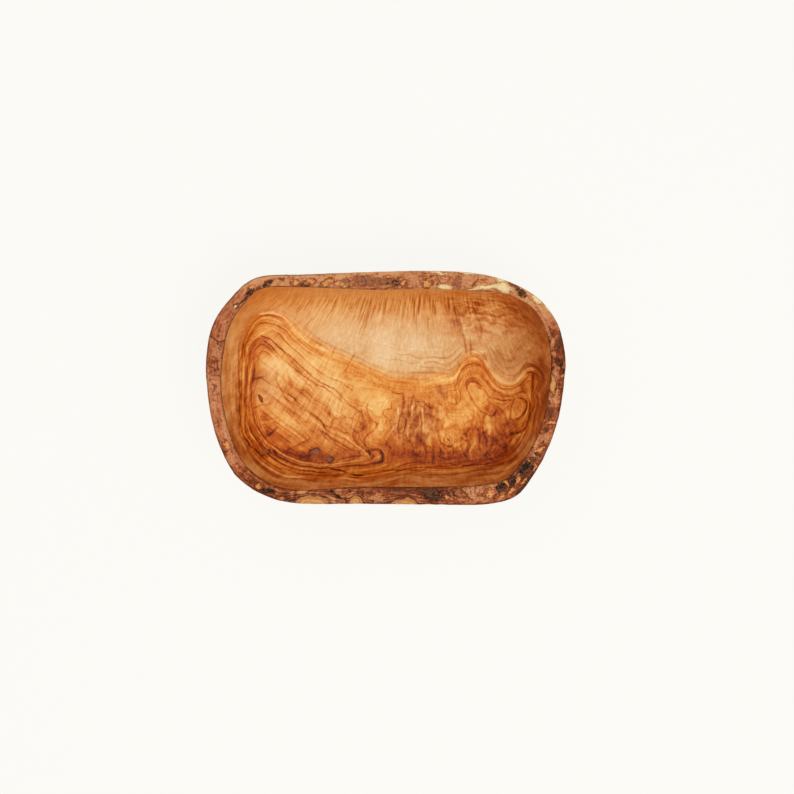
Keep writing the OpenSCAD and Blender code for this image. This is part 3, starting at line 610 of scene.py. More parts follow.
def lay_finish(tree, colour, height, strength, depth, gloss):
    """End a material with its colour, a grain that can be felt, of a strength and depth, and its gloss."""
    felt = add_node(tree, "Bump", {"Height": height, "Strength": strength, "Distance": depth})
    surface = add_node(tree, "BsdfPrincipled", {"Base Color": colour, "Normal": felt, **gloss})
    add_node(tree, "OutputMaterial", {"Surface": surface}, output=None)


def hashed(ix, iy, seed):
    """A repeatable number from 0 to 1 for each lattice point, by an integer hash."""
    h = (ix * 374761393 + iy * 668265263 + seed * 362437) & 0xFFFFFFFF
    h = ((h ^ (h >> 13)) * 1274126177) & 0xFFFFFFFF
    return ((h ^ (h >> 16)) & 0xFFFF) / 65535


def relief(x, y, size, octaves, seed):
    """Value noise about nought: hashed lattice values, eased between, in octaves of half the size."""
    total = np.zeros_like(x)
    for octave in range(octaves):
        fx, fy = x / size * 2 ** octave, y / size * 2 ** octave
        ix, iy = np.floor(fx).astype(np.int64), np.floor(fy).astype(np.int64)
        ex, ey = fx - ix, fy - iy
        ex, ey = ex * ex * (3 - 2 * ex), ey * ey * (3 - 2 * ey)
        low = hashed(ix, iy, seed + octave) * (1 - ex) + hashed(ix + 1, iy, seed + octave) * ex
        high = hashed(ix, iy + 1, seed + octave) * (1 - ex) + hashed(ix + 1, iy + 1, seed + octave) * ex
        total += (low * (1 - ey) + high * ey - 0.5) * 0.5 ** octave
    return total


def shaken(x, y, amount, size, octaves, seeds):
    """Places moved aside unevenly, by an amount in waves of a size."""
    return (x + amount * relief(x, y, size, octaves, seeds[0]),
            y + amount * relief(x, y, size, octaves, seeds[1]))


def ease(start, end, value):
    """0 up to start, 1 from end on, and a smooth step between. It falls where start is above end."""
    t = np.clip((value - start) / (end - start), 0, 1)
    return t * t * (3 - 2 * t)


def turned(u, v, angle):
    """Places turned anticlockwise by an angle."""
    return u * math.cos(angle) - v * math.sin(angle), u * math.sin(angle) + v * math.cos(angle)


def signed_distance(x, y, points):
    """Distance from every place to a line through the points, below nought on its right."""
    nearest = np.full(x.shape, np.inf)
    left = np.ones(x.shape)
    for (ax, ay), (bx, by) in zip(points[:-1], points[1:]):
        wx, wy = bx - ax, by - ay
        t = np.clip(((x - ax) * wx + (y - ay) * wy) / (wx * wx + wy * wy), 0, 1)
        away = np.hypot(x - ax - t * wx, y - ay - t * wy)
        left = np.where(away < nearest, np.where(wx * (y - ay) < wy * (x - ax), -1, 1), left)
        nearest = np.minimum(nearest, away)
    return nearest * left


def line_distance(x, y, points):
    """Distance from every place to a line through the points."""
    return np.abs(signed_distance(x, y, points))


def oval_depth(x, y, place, half, turn):
    """1 at an oval's middle, 0 on its edge and below 0 outside."""
    u, v = turned(x - place[0], y - place[1], -turn)
    return 1 - np.hypot(u / half[0], v / half[1])


def grid_faces(rows, columns, first=0):
    """Quads of a grid whose columns close on themselves, facing the side where columns turn to rows."""
    r, c = np.meshgrid(np.arange(rows - 1), np.arange(columns), indexing="ij")
    n = (c + 1) % columns
    quads = np.stack((r * columns + c, r * columns + n, (r + 1) * columns + n, (r + 1) * columns + c), -1)
    return quads.reshape(-1, 4) + first


def fan_faces(columns, ring, pole, upward):
    """Triangles from a ring of points to a pole."""
    c = np.arange(columns)
    n = (c + 1) % columns
    tip = np.full(columns, pole)
    return np.stack((ring + c, ring + n, tip) if upward else (ring + n, ring + c, tip), -1)


def plug(x, y, top, bottom, middle, first=0):
    """Points and faces of a closed plug: a ring at the bottom, rings on the top inwards, and two poles."""
    rings, columns = x.shape
    points = np.concatenate((
        np.stack((x[0], y[0], bottom), -1), np.stack((x, y, top), -1).reshape(-1, 3),
        ((*middle, top[-1].mean()), (*middle, bottom.mean()))))
    pole = first + len(points) - 2
    faces = (grid_faces(rings + 1, columns, first), fan_faces(columns, first + rings * columns, pole, True),
             fan_faces(columns, first, pole + 1, False))
    return points, faces


def add_piece(name, points, faces, material, node, values=()):
    """Put points, faces and named values at the points into a smooth mesh that stands for a node."""
    mesh = bpy.data.meshes.new(name)
    mesh.from_pydata(points.tolist(), [], [face for group in faces for face in group.tolist()])
    mesh.polygons.foreach_set("use_smooth", np.ones(len(mesh.polygons), dtype=bool))
    for key, value in dict(values).items():
        layer = mesh.attributes.new(key, "FLOAT", "POINT")
        layer.data.foreach_set("value", np.ascontiguousarray(value, dtype=np.float32).ravel())
    mesh.materials.append(material)
    mesh.update()
    piece = bpy.data.objects.new(name, mesh)
    bpy.context.scene.collection.objects.link(piece)
    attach(piece, "root")
    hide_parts(node)


# The bowl's shape

class BowlShape:
    """The bowl's outline and heights, shared by every piece."""

    # Points on the closed curve through the rim's stations, before they are spaced evenly
    DENSE = 5200
    # Rounds that find the place under a pixel, as the height there depends on the place
    ROUNDS = 4

    def __init__(self, sizes):
        self.sizes = sizes
        count = len(RIM_STATIONS)
        steps = np.arange(self.DENSE) * count / self.DENSE
        span = np.floor(steps).astype(int)
        t = (steps - span)[:, None]
        a, b, c, d = (RIM_STATIONS[(span + k) % count] for k in (-1, 0, 1, 2))
        curve = (2 * b + (c - a) * t + (2 * a - 5 * b + 4 * c - d) * t ** 2
                 + (3 * b - a - 3 * c + d) * t ** 3) / 2
        low, high = (np.array(corner) for corner in CAD_BOX)
        self.half = (high - low)[:2] / np.ptp(curve[:, :2], axis=0)
        self.dense_outer = curve[:, :2] * self.half
        self.dense_width = curve[:, 2] * MM
        inner = self.inside(self.dense_outer, self.dense_width)
        turn = np.arctan2(inner[:, 1], inner[:, 0])
        order = np.argsort(turn)
        self.inner_turn = turn[order]
        self.inner_reach = np.hypot(inner[:, 0], inner[:, 1])[order]

    @staticmethod
    def inside(outer, width):
        """The inner edge: the outer one moved in by the rim's width along its normal."""
        way = np.roll(outer, -1, 0) - np.roll(outer, 1, 0)
        normal = np.stack((-way[:, 1], way[:, 0]), -1) / np.linalg.norm(way, axis=1)[:, None]
        return outer + normal * width[:, None]

    def outline(self, columns):
        """Outer and inner edge of the rim at even steps along it: a closed Catmull-Rom curve."""
        steps = np.linalg.norm(np.roll(self.dense_outer, -1, 0) - self.dense_outer, axis=1)
        along = np.concatenate(((0,), np.cumsum(steps)))
        even = np.arange(columns) * along[-1] / columns
        closed = np.concatenate((self.dense_outer, self.dense_outer[:1]))
        wide = np.concatenate((self.dense_width, self.dense_width[:1]))
        outer = np.stack([np.interp(even, along, closed[:, axis]) for axis in (0, 1)], -1)
        return outer, self.inside(outer, np.interp(even, along, wide))

    def rim_z(self, x, y):
        """Height of the log's skin: round across the log, tapering along it."""
        s = self.sizes
        return s.height - s.fall * (y / self.half[1]) ** 2 + s.taper / 2 * x / self.half[0]

    def wood_z(self, x, y):
        """Height of the wood under the bark."""
        return self.rim_z(x, y) - self.sizes.skin

    def share(self, x, y):
        """A place in plan as a share of the inner outline in its direction."""
        reach = np.interp(np.arctan2(y, x), self.inner_turn, self.inner_reach, period=2 * math.pi)
        return np.hypot(x, y) / reach

    def hollow_z(self, x, y):
        """Height of the hollow: a superellipse of the share, to its power, and the depth, squared."""
        share = np.clip(self.share(x, y), 1e-6, 1)
        depth = self.wood_z(x / share, y / share) - self.sizes.floor
        return self.sizes.floor + depth * (1 - np.sqrt(1 - share ** self.sizes.hollow_power))

    def from_photo(self, points, on_rim=False):
        """Places in plan under photograph pixels, by the camera's perspective at the surface's height."""
        points = np.atleast_2d(np.array(points, dtype=float))
        aside = (points - PHOTO_MIDDLE) * (PHOTO_PIXEL, -PHOTO_PIXEL)
        place = PHOTO_AXIS + aside
        for _ in range(self.ROUNDS):
            x, y = place.T
            z = self.rim_z(x, y) if on_rim else self.hollow_z(x, y)
            place = PHOTO_AXIS + aside * (1 + (PHOTO_RIM_Z - z) / PHOTO_DISTANCE)[:, None]
        return place


def bowl_shape(context):
    """The bowl's shape from the scene's settings."""
    return BowlShape(context.scene.fruit_bowl_sizes)


# Figure of the wood

def thin_plate(points, values, stiffness):
    """A function of place through scattered values: the bending of a thin plate, plus a plane."""
    scale = np.ptp(points, axis=0).max()
    sites = points / scale

    def kernel(square):
        return square * np.log(square + 1e-12)

    count = len(sites)
    plane = np.column_stack((np.ones(count), sites))
    apart = ((sites[:, None] - sites[None]) ** 2).sum(-1)
    system = np.zeros((count + 3, count + 3))
    system[:count, :count] = kernel(apart) + stiffness * np.eye(count)
    system[:count, count:] = plane
    system[count:, :count] = plane.T
    weights = np.linalg.solve(system, np.concatenate((values, np.zeros(3))))

    def height(x, y):
        px, py = x / scale, y / scale
        total = weights[count] + weights[count + 1] * px + weights[count + 2] * py
        for (sx, sy), weight in zip(sites, weights):
            total = total + weight * kernel((px - sx) ** 2 + (py - sy) ** 2)
        return total

    return height


def drawn_lines(shape, x, y):
    """The drawn lines, by an uneven hand.

    Wide lines are a strength that fades from the line. Each thin one goes into the first layer whose lines
    are far enough away, as its strength and its signed distance in half widths.
    """
    shaky = shaken(x, y, 1.1 * MM, 6 * MM, 2, (91, 95))
    pressure = 0.85 + 0.7 * relief(x, y, 9 * MM, 2, 99)
    stroke = np.zeros_like(x)
    layers = [[] for _ in range(LINE_LAYERS)]
    off = [np.full_like(x, 2 * LINE_FADE[1]) for _ in layers]
    force = [np.zeros_like(x) for _ in layers]
    for strength, half_width, *points in WOOD_LINES:
        line = shape.from_photo(points)
        firm = strength * (pressure if abs(strength) < INGROWN else 1)
        away = signed_distance(*shaky, line) / (half_width * PHOTO_PIXEL)
        if half_width > WIDE_LINE:
            drawn = firm * ease(1.7, 0.2, np.abs(away))
            stroke = np.where(np.abs(drawn) > np.abs(stroke), drawn, stroke)
            continue
        room = [min([min(line_distance(*line.T, other).min(), line_distance(*other.T, line).min())
                     for other in layer], default=1) for layer in layers]
        free = [number for number, gap in enumerate(room) if gap > LINE_GAP * PHOTO_PIXEL]
        if not free:
            raise ValueError("the drawn lines need more than %d layers" % LINE_LAYERS)
        layer = free[0]
        layers[layer].append(line)
        nearer = np.abs(away) < np.abs(off[layer])
        off[layer] = np.where(nearer, away, off[layer])
        force[layer] = np.where(nearer, firm * (1 - ease(*LINE_FADE, np.abs(away))), force[layer])
    values = {"stroke": stroke}
    for number, (off_name, force_name) in enumerate(LINE_VALUES):
        values[off_name] = off[number]
        values[force_name] = force[number]
    return values


def hollow_figure(shape, x, y):
    """Named values of the hollow's figure at places in plan, for the wood's material.

    Rings follow a thin plate through the guides, and slant evenly in the core of the wing. Regions and
    patches are ovals with uneven borders.
    """
    sites = [shape.from_photo(points) for _, *points in RING_GUIDES]
    levels = np.concatenate([
        np.full(len(site), float(guide[0])) for site, guide in zip(sites, RING_GUIDES)])
    ring = thin_plate(np.concatenate(sites), levels, RING_STIFFNESS)(x, y)
    uneven = shaken(x, y, 5 * MM, 16 * MM, 3, (81, 85))

    def soft_oval(px, py, rx, ry, turn, power):
        """1 in the middle of an oval, fading by e to minus its share to a power."""
        half = np.array((rx, ry)) * PHOTO_PIXEL
        away = 1 - oval_depth(*uneven, shape.from_photo((px, py))[0], half, math.radians(turn))
        return np.exp(-np.clip(away ** power, 0, 50))

    region = {name: soft_oval(*oval) for name, oval in REGIONS.items()}
    start, end = shape.from_photo(WING_SLANT)
    slant = (end - start) / np.linalg.norm(end - start)
    straight = WING_RING + ((x - start[0]) * slant[1] - (y - start[1]) * slant[0]) / WING_SPACING
    ring = ring + ease(*RING_STEPS["wing core"], ring) * region["wing core"] * (straight - ring)
    step = {name: ease(*rings, ring) for name, rings in RING_STEPS.items()}
    heart = step["heartwood"]
    wing = region["wing"] * heart

    # Rays fall from the back edge, each to its own length.
    centre = shape.from_photo(RAY_CENTRE)[0]
    across = np.arctan2(x - centre[0], centre[1] - y)
    below = (shape.from_photo(BACK_EDGE)[0][1] - y) / PHOTO_PIXEL
    length = RAY_REACH[0] + RAY_REACH[1] * relief(across, 0 * across, 0.03, 2, 45)
    strong = 1.0 + 0.9 * relief(across, 0 * across, 0.09, 2, 47)
    rays = ease(0, 9, below) * ease(1.4, 0.3, below / length) * strong * region["rays"] * (1 - heart)

    # Growth lines are faint where burl, wing, eyes or seam have a figure of their own.
    burl = region["burl"] * step["burl"] + 0.25 * region["notch"] * heart
    burl = burl * (1 - 0.75 * region["calm burl"])
    seam = np.maximum(region["seam"], region["left seam"]) * step["seam"]
    eyes = np.maximum.reduce([region[name] for name in ("eye", "right eye", "left eye")])
    plateau = np.maximum(region["plateau"], region["right plateau"])
    lines = heart * (1 - 0.75 * burl) * (1 - 0.35 * wing) * (1 - 0.8 * eyes) * (1 - 0.75 * seam)
    rise = shape.hollow_z(x, y) - shape.sizes.floor
    wall = ease(1 * MM, 16 * MM, rise) * ease(0.6, 0.3, y / shape.half[1])

    # The wood's tone, with painted shade and light on the walls and a painted sheen on the plateau
    tone = sum(change * soft_oval(*oval, 2) for _, *oval, change in TONE_AND_PAINTED_LIGHT_PATCHES)
    plain = step["plain colour"] * (0.22 + 0.23 * ease(4, 24, below) + 0.55 * plateau)
    cream = plain + sum(share * soft_oval(*oval, 4) for _, *oval, share in CREAM_PATCHES) + 0.2 * wing
    return {
        **drawn_lines(shape, x, y), "ring": ring, "across": across, "cream": cream, "burl": burl,
        "tone": tone + 0.7 * plateau * relief(x, y, 20 * MM, 3, 87), "streaks": rays + 0.3 * wing,
        "curl": region["curls"] * (1 - heart), "lines": np.maximum(lines, 0.8 * wall),
        "drift": np.maximum(0.45 * heart, 0.9 * wall), "loose": 1 - 0.7 * wing,
        "hems": step["hems"] * step["hems end"] * plateau}


def outside_figure(shape, x, y, z):
    """Named values of the figure on the outside: rings round a pith that runs along the bowl, below it."""
    figure = {name: np.zeros_like(x) for name in (*WOOD_VALUES, *sum(LINE_VALUES, ()))}
    figure["ring"] += np.hypot(y - PITH[0], z - PITH[1]) / PITH_SPACING - PITH_RINGS
    figure["tone"] += 0.25 * relief(x, y + z, 60 * MM, 2, 41) - 0.12
    figure["cream"] += ease(0.55, 0.95, z / shape.sizes.height)
    for name, value in (("lines", 1.0), ("drift", 0.6), ("loose", 1.0)):
        figure[name] += value
    return figure


# Materials

def olive_wood_material(colours):
    """Oiled olive wood, carved and sanded smooth.

    The eye sees dark and gold growth lines that wander, ripple where rays cross them and churn in the
    burl, on plainer wood with rays and short curls, all under a satin oil.
    """
    material, tree = new_material("oiled olive wood")
    place = add_node(tree, "TexCoord", output="Object")
    ring, tone, stroke, across, streaks, burl, curl, cream, lines, drift, loose, hems = (
        add_node(tree, "Attribute", output="Fac", attribute_name=name) for name in WOOD_VALUES)

    # Noise: size along, across and up in millimetres, then detail, roughness and distortion
    noise = {}
    for name, size, detail, roughness, distortion in (
            ("wander", (22, 22, 22), 2, 0.55, 0), ("quiver", (6, 6, 6), 2, 0.55, 0),
            ("fading", (12, 12, 12), 2, 0.5, 0), ("clouds", (9, 9, 9), 3, 0.6, 0),
            ("grain", (1.6, 1.6, 1.6), 3, 0.6, 0), ("churn", (11, 17, 17), 1.5, 0.5, 0.9),
            ("arcs", (15, 7, 7), 3, 0.55, 1.4), ("wisps", (9, 15, 15), 3, 0.55, 1.2)):
        scaled = add_node(tree, "VectorMath", (place, [1 / (mm * MM) for mm in size]), operation="MULTIPLY")
        noise[name] = add_node(tree, "TexNoise", {
            "Vector": scaled, "Scale": 1, "Detail": detail, "Roughness": roughness,
            "Distortion": distortion})

    # Thin drawn lines: dark or light within a half width of nought
    darker, lighter = 0.0, 0.0
    for names in LINE_VALUES:
        off, force = (add_node(tree, "Attribute", output="Fac", attribute_name=name) for name in names)
        away = add_node(tree, "Math", (off,), operation="ABSOLUTE")
        drawn = add_node(tree, "MapRange", (away, 0.1, 1.35, 1, 0), **SMOOTH)
        drawn = add_node(tree, "Math", (drawn, force), operation="MULTIPLY")
        darker = add_node(tree, "Math", (drawn, darker), operation="MAXIMUM")
        lighter = add_node(tree, "Math", (drawn, lighter), operation="MINIMUM")
    for value in (darker, lighter):
        stroke = add_node(tree, "Math", (stroke, value), operation="ADD")

    # The rings' phase: it wanders, ripples across the rays and churns in the burl
    phase = ring
    for name, amount in (("wander", 0.4), ("quiver", 0.15)):
        swing = add_node(tree, "Math", (noise[name], loose), operation="MULTIPLY")
        phase = add_node(tree, "Math", (swing, amount, phase), operation="MULTIPLY_ADD")
    ripple = add_node(tree, "TexNoise", {"W": across, "Scale": 40, "Detail": 2.5}, noise_dimensions="1D")
    reach = add_node(tree, "Math", (burl, 1.4, 0.05), operation="MULTIPLY_ADD")
    phase = add_node(tree, "Math", (ripple, reach, phase), operation="MULTIPLY_ADD")
    churned = add_node(tree, "Math", (noise["churn"], burl), operation="MULTIPLY")
    phase = add_node(tree, "Math", (churned, 2.0, phase), operation="MULTIPLY_ADD")

    # Broad bands, then growth lines: each starts sharply, fades out, and has its own strength and spacing
    bands = add_node(tree, "TexNoise", {"W": phase, "Scale": 0.9, "Detail": 2}, noise_dimensions="1D")
    bands = add_node(tree, "Math", (bands, 0.5), operation="SUBTRACT")
    level = add_node(tree, "Math", (bands, 0.5), operation="MULTIPLY")
    level = add_node(tree, "Math", (level, lines), operation="MULTIPLY")
    for pace, share, amount in (
            (1.5, lines, -0.8), (4.1, lines, -0.8), (3.2, hems, -0.7), (6.3, hems, -0.5)):
        count = add_node(tree, "Math", (phase, pace), operation="MULTIPLY")
        spacing = add_node(tree, "TexNoise", {"W": count, "Scale": 0.7, "Detail": 1}, noise_dimensions="1D")
        count = add_node(tree, "Math", (spacing, 2.2, count), operation="MULTIPLY_ADD")
        number = add_node(tree, "Math", (count,), operation="FLOOR")
        own = add_node(tree, "TexWhiteNoise", {"W": number}, noise_dimensions="1D")
        since = add_node(tree, "Math", (count,), operation="FRACT")
        dark = add_node(tree, "MapRange", (since, 0.0, 0.8, 1, 0))
        dark = add_node(tree, "Math", (dark, 1.8), operation="POWER")
        dark = add_node(tree, "Math", (dark, 0.75), operation="MULTIPLY")
        thin = add_node(tree, "MapRange", (since, 0.0, 0.16, 1.15, 0))
        dark = add_node(tree, "Math", (dark, thin), operation="MAXIMUM")
        for factor in (own, noise["fading"], share):
            dark = add_node(tree, "Math", (dark, factor), operation="MULTIPLY")
        level = add_node(tree, "Math", (dark, amount, level), operation="MULTIPLY_ADD")

    # Rays that fan out across the plain wood, 74 to a radian or about 2 mm apart, and finer fibre between
    back = add_node(tree, "SeparateXYZ", (place,), output="Y")
    fan = add_node(tree, "CombineXYZ", [
        add_node(tree, "Math", (value, scale), operation="MULTIPLY")
        for value, scale in ((across, 74), (back, 1 / (26 * MM)))])
    rays = add_node(tree, "TexNoise", {
        "Vector": fan, "Scale": 1, "Detail": 3, "Roughness": 0.6}, noise_dimensions="2D")
    finer = add_node(tree, "VectorMath", (fan, (1.2, 4, 0)), operation="MULTIPLY")
    fibre = add_node(tree, "TexNoise", {"Vector": finer, "Scale": 1, "Detail": 2}, noise_dimensions="2D")

    # Long streaks that follow the rings round the walls
    along = add_node(tree, "VectorMath", (place, (1 / (30 * MM), 1 / (30 * MM), 0)), operation="MULTIPLY")
    by_ring = add_node(tree, "CombineXYZ", {"Z": add_node(tree, "Math", (ring, 1.3), operation="MULTIPLY")})
    along = add_node(tree, "VectorMath", (along, by_ring), operation="ADD")
    wall = add_node(tree, "TexNoise", {"Vector": along, "Scale": 1, "Detail": 4, "Roughness": 0.65})
    wall = add_node(tree, "Math", (wall, 1.6, -0.8), operation="MULTIPLY_ADD")

    # Rays, short arcs in the plain wood and wisps in the burl: dark on what is lighter between them
    rays, arcs, wisps = (
        add_node(tree, "MapRange", (pattern, start, end, light, dark), **SMOOTH)
        for pattern, start, end, light, dark in (
            (rays, 0.42, 0.64, 0.10, -0.25), (noise["arcs"], 0.36, 0.66, 0.16, -0.26),
            (noise["wisps"], 0.36, 0.66, 0.14, -0.20)))

    # How light the wood is: all of these on top of the growth lines, the first of them with painted shade
    # and light on the walls and a painted sheen on the plateau
    for value, amount in (
            (tone, 0.34), (noise["grain"], 0.26), (fibre, 0.30), (noise["clouds"], 0.28), (rays, streaks),
            (arcs, curl), (wisps, burl), (wall, drift), (stroke, -0.42)):
        level = add_node(tree, "Math", (value, amount, level), operation="MULTIPLY_ADD")
    level = add_node(tree, "Math", (level, WOOD_LIFT), operation="ADD")
    heart = add_node(tree, "ValToRGB", (level,), stops=(
        (0.0, colours.umber), (0.20, colours.rust), (0.40, colours.orange), (0.58, colours.amber),
        (0.76, colours.gold), (0.96, colours.straw)))
    plain = add_node(tree, "ValToRGB", (level,), stops=(
        (0.0, colours.rust), (0.28, colours.tan), (0.52, colours.sand), (0.74, colours.cream),
        (0.95, colours.ivory)))
    wood = add_node(tree, "Mix", {0: cream, 6: heart, 7: plain}, **COLOUR_MIX)
    ingrown = add_node(tree, "MapRange", (stroke, 0.72, 1.0, 0, 0.85), **SMOOTH)
    wood = add_node(tree, "Mix", {0: ingrown, 6: wood, 7: (*colours.crust, 1)}, **COLOUR_MIX)
    lay_finish(tree, wood, noise["grain"], 0.25, 0.1 * MM, {
        "Roughness": 0.45, "Specular IOR Level": 0.14, "Coat Weight": 0.05, "Coat Roughness": 0.3})
    return material


def inner_bark_material(colours):
    """Oiled inner bark, left as it grew and brushed.

    The eye sees a brown, wrinkled skin, worn to orange lumps and pale sapwood, with stains, flow lines,
    dark cracks and painted shade along both edges.
    """
    material, tree = new_material("oiled inner bark")
    edge, light, scarred, turn_x, turn_y, way, *masks = (
        add_node(tree, "Attribute", output="Fac", attribute_name=name)
        for name in ("edge", "light", "scarred", "turn_x", "turn_y", "way", *RIM_KINDS))
    mask = dict(zip(RIM_KINDS, masks))
    unrolled = add_node(tree, "CombineXYZ", (turn_x, turn_y, way))
    bark_dark = (*colours.bark_dark, 1)

    # Wrinkles run along the rim, brush marks across it, with blotches, chips and specks over both: size
    # along and across the rim in millimetres, then detail
    patterns = []
    for along, over, detail in ((8, 2.6, 3), (2.2, 8, 3), (14, 6, 1), (3.6, 3.0, 3), (1.7, 1.4, 2)):
        scaled = add_node(tree, "VectorMath", (
            unrolled, [1 / (mm * MM) for mm in (along, along, over)]), operation="MULTIPLY")
        patterns.append(add_node(tree, "TexNoise", {
            "Vector": scaled, "Scale": 1, "Detail": detail, "Roughness": 0.6, "Distortion": 0.5}))
    wrinkle, brushed, blotch, chip, speck = patterns

    # Flow lines 3.4 mm apart, bent by blotches and round cut wood and orange lumps
    bent = add_node(tree, "Math", (way, 2 * math.pi / (3.4 * MM)), operation="MULTIPLY")
    for value, amount in ((blotch, 14), (wrinkle, 2), (mask["tan"], -11), (mask["worn"], -4)):
        bent = add_node(tree, "Math", (value, amount, bent), operation="MULTIPLY_ADD")
    flow = add_node(tree, "Math", (bent,), operation="SINE")
    near = add_node(tree, "MapRange", (mask["tan"], -1, -0.5, 0.07, 0.16))
    level = add_node(tree, "Math", (flow, near, light), operation="MULTIPLY_ADD")

    # How light the bark is: flow lines and scars about a middle
    amounts = ((wrinkle, 0.75), (brushed, 0.55), (blotch, 0.5), (chip, 0.65), (speck, 0.6))
    scars = -0.5 * sum(amount for _, amount in amounts)
    for value, amount in amounts:
        scars = add_node(tree, "Math", (value, amount, scars), operation="MULTIPLY_ADD")
    level = add_node(tree, "Math", (scars, scarred, level), operation="MULTIPLY_ADD")
    level = add_node(tree, "Math", (level, BARK_LIFT), operation="ADD")
    colour = add_node(tree, "ValToRGB", (level,), stops=(
        (0.02, colours.bark_dark), (0.28, colours.bark_shade), (0.52, colours.bark),
        (0.76, colours.bark_light)))

    # The chisel's marks are arcs round the middle of the cut wood, about three to a patch
    arcs = add_node(tree, "Math", (mask["tan"], 20), operation="MULTIPLY")
    arcs = add_node(tree, "Math", (arcs,), operation="SINE")
    arcs = add_node(tree, "Math", (arcs, 0.5, 0.5), operation="MULTIPLY_ADD")

    # Patches: colours of border and middle, how strong the outline and the patch are, how ragged it is,
    # then which pattern marks its inside, and how much
    for kind, border, middle, outline, strength, ragged, marks, marked in (
            ("rosy", colours.bark, colours.bark_light, 0, 0.55, 3.0, speck, 4.0),
            ("tan", colours.tan, colours.cut, 0.7, 0.95, 0.3, arcs, 0.7),
            ("pale", colours.sapwood_shade, colours.sapwood, 0.3, 0.95, 1.8, speck, 1.5),
            ("dark", colours.bark_shade, colours.bark_dark, 0, 0.8, 3.0, speck, 2.0),
            ("ashen", colours.bark_shade, colours.ash, 0, 0.7, 2.0, brushed, 5.0),
            ("worn", colours.bark_shade, colours.worn, 0.5, 0.9, 1.9, speck, 3.2),
            ("crust", colours.crust, colours.crust_light, 0.5, 0.95, 2.6, speck, 3.4)):
        depths = []
        for pattern, amount in ((chip, ragged), (marks, marked)):
            swing = add_node(tree, "Math", (pattern, 0.5), operation="SUBTRACT")
            depths.append(add_node(tree, "Math", (swing, amount, mask[kind]), operation="MULTIPLY_ADD"))
        rim, inside, inward = (
            add_node(tree, "MapRange", (depth, start, end, 0, most), **SMOOTH)
            for depth, start, end, most in (
                (depths[0], -0.30, 0.0, outline), (depths[0], -0.05, 0.18, strength),
                (depths[1], 0.0, 0.7, 1)))
        paint = add_node(tree, "Mix", {0: inward, 6: (*border, 1), 7: (*middle, 1)}, **COLOUR_MIX)
        for share, over in ((rim, bark_dark), (inside, paint)):
            colour = add_node(tree, "Mix", {0: share, 6: colour, 7: over}, **COLOUR_MIX)
    # Painted shade along both edges of the bark, and the cracks, darken it towards bark_dark
    colour = add_node(tree, "Mix", {0: edge, 6: colour, 7: bark_dark}, **COLOUR_MIX)
    lay_finish(tree, colour, level, 0.8, 0.8 * MM, {"Roughness": 0.5, "Specular IOR Level": 0.12})
    return material


def outer_bark_material(colours):
    """Rough outer bark, dry and broken.

    The eye sees near black flakes, with brown where layers show or weather.
    """
    material, tree = new_material("rough outer bark")
    place = add_node(tree, "TexCoord", output="Object")
    weather = add_node(tree, "Attribute", output="Fac", attribute_name="weather")
    flakes = add_node(tree, "TexNoise", {
        "Vector": place, "Scale": 1 / (2.2 * MM), "Detail": 5, "Roughness": 0.65})
    shown = add_node(tree, "Math", (weather, 0.2, flakes), operation="MULTIPLY_ADD")
    colour = add_node(tree, "ValToRGB", (shown,), stops=(
        (0.36, colours.char), (0.52, colours.crust), (0.62, colours.crust_light), (0.76, colours.bark)))
    lay_finish(tree, colour, flakes, 0.6, 0.6 * MM, {"Roughness": 0.8, "Specular IOR Level": 0.15})
    return material


def dead_knot_material(colours):
    """Dead knot wood, sanded and oiled with the bowl.

    The eye sees weathered brown with faint rings, which blends into the wood but for old bark on one side.
    """
    material, tree = new_material("dead knot wood")
    place = add_node(tree, "TexCoord", output="Object")
    depth, barked = (add_node(tree, "Attribute", output="Fac", attribute_name=name)
                     for name in ("depth", "barked"))
    ragged = add_node(tree, "TexNoise", {"Vector": place, "Scale": 1 / (1.4 * MM), "Detail": 3})
    rings = add_node(tree, "Math", (ragged, 0.9, depth), operation="MULTIPLY_ADD")
    colour = add_node(tree, "ValToRGB", (rings,), stops=(
        (0.36, colours.orange), (0.52, colours.rust), (0.72, colours.knot), (0.88, colours.bark_shade),
        (1.0, colours.knot)))
    crusted = add_node(tree, "MapRange", (rings, 0.5, 0.8, 1, 0), **SMOOTH)
    crusted = add_node(tree, "Math", (crusted, barked), operation="MULTIPLY")
    colour = add_node(tree, "Mix", {0: crusted, 6: colour, 7: (*colours.crust, 1)}, **COLOUR_MIX)
    lay_finish(tree, colour, ragged, 0.4, 0.2 * MM, {"Roughness": 0.55, "Specular IOR Level": 0.12})
    return material


def seen_directly(tree):
    """1 for what is seen straight, in a gloss or through glass, and 0 for what only gives light."""
    path = add_node(tree, "LightPath", output=None).outputs
    seen = path["Is Camera Ray"]
    for kind in ("Is Glossy Ray", "Is Transmission Ray"):
        seen = add_node(tree, "Math", (seen, path[kind]), operation="MAXIMUM")
    return seen


def floor_material(colours):
    """Matt pale paper.

    The eye barely sees its fibre. To the camera most of it is as pale as written.
    """
    material, tree = new_material("pale paper")
    place = add_node(tree, "TexCoord", output="Object")
    fibre = add_node(tree, "TexNoise", {"Vector": place, "Scale": 1 / (3 * MM)})
    colour = add_node(tree, "Mix", {
        0: fibre, 6: (*colours.floor, 1), 7: (*colours.floor_fibre, 1)}, **COLOUR_MIX)
    paper = add_node(tree, "BsdfPrincipled", {
        "Base Color": colour, "Roughness": 0.9, "Specular IOR Level": 0.1})
    glow = add_node(tree, "Emission", {"Color": colour, "Strength": 1.0})
    share = add_node(tree, "Math", (seen_directly(tree), 0.92), operation="MULTIPLY")
    surface = add_node(tree, "MixShader", (share, paper, glow))
    add_node(tree, "OutputMaterial", {"Surface": surface}, output=None)
    return material


# Operators

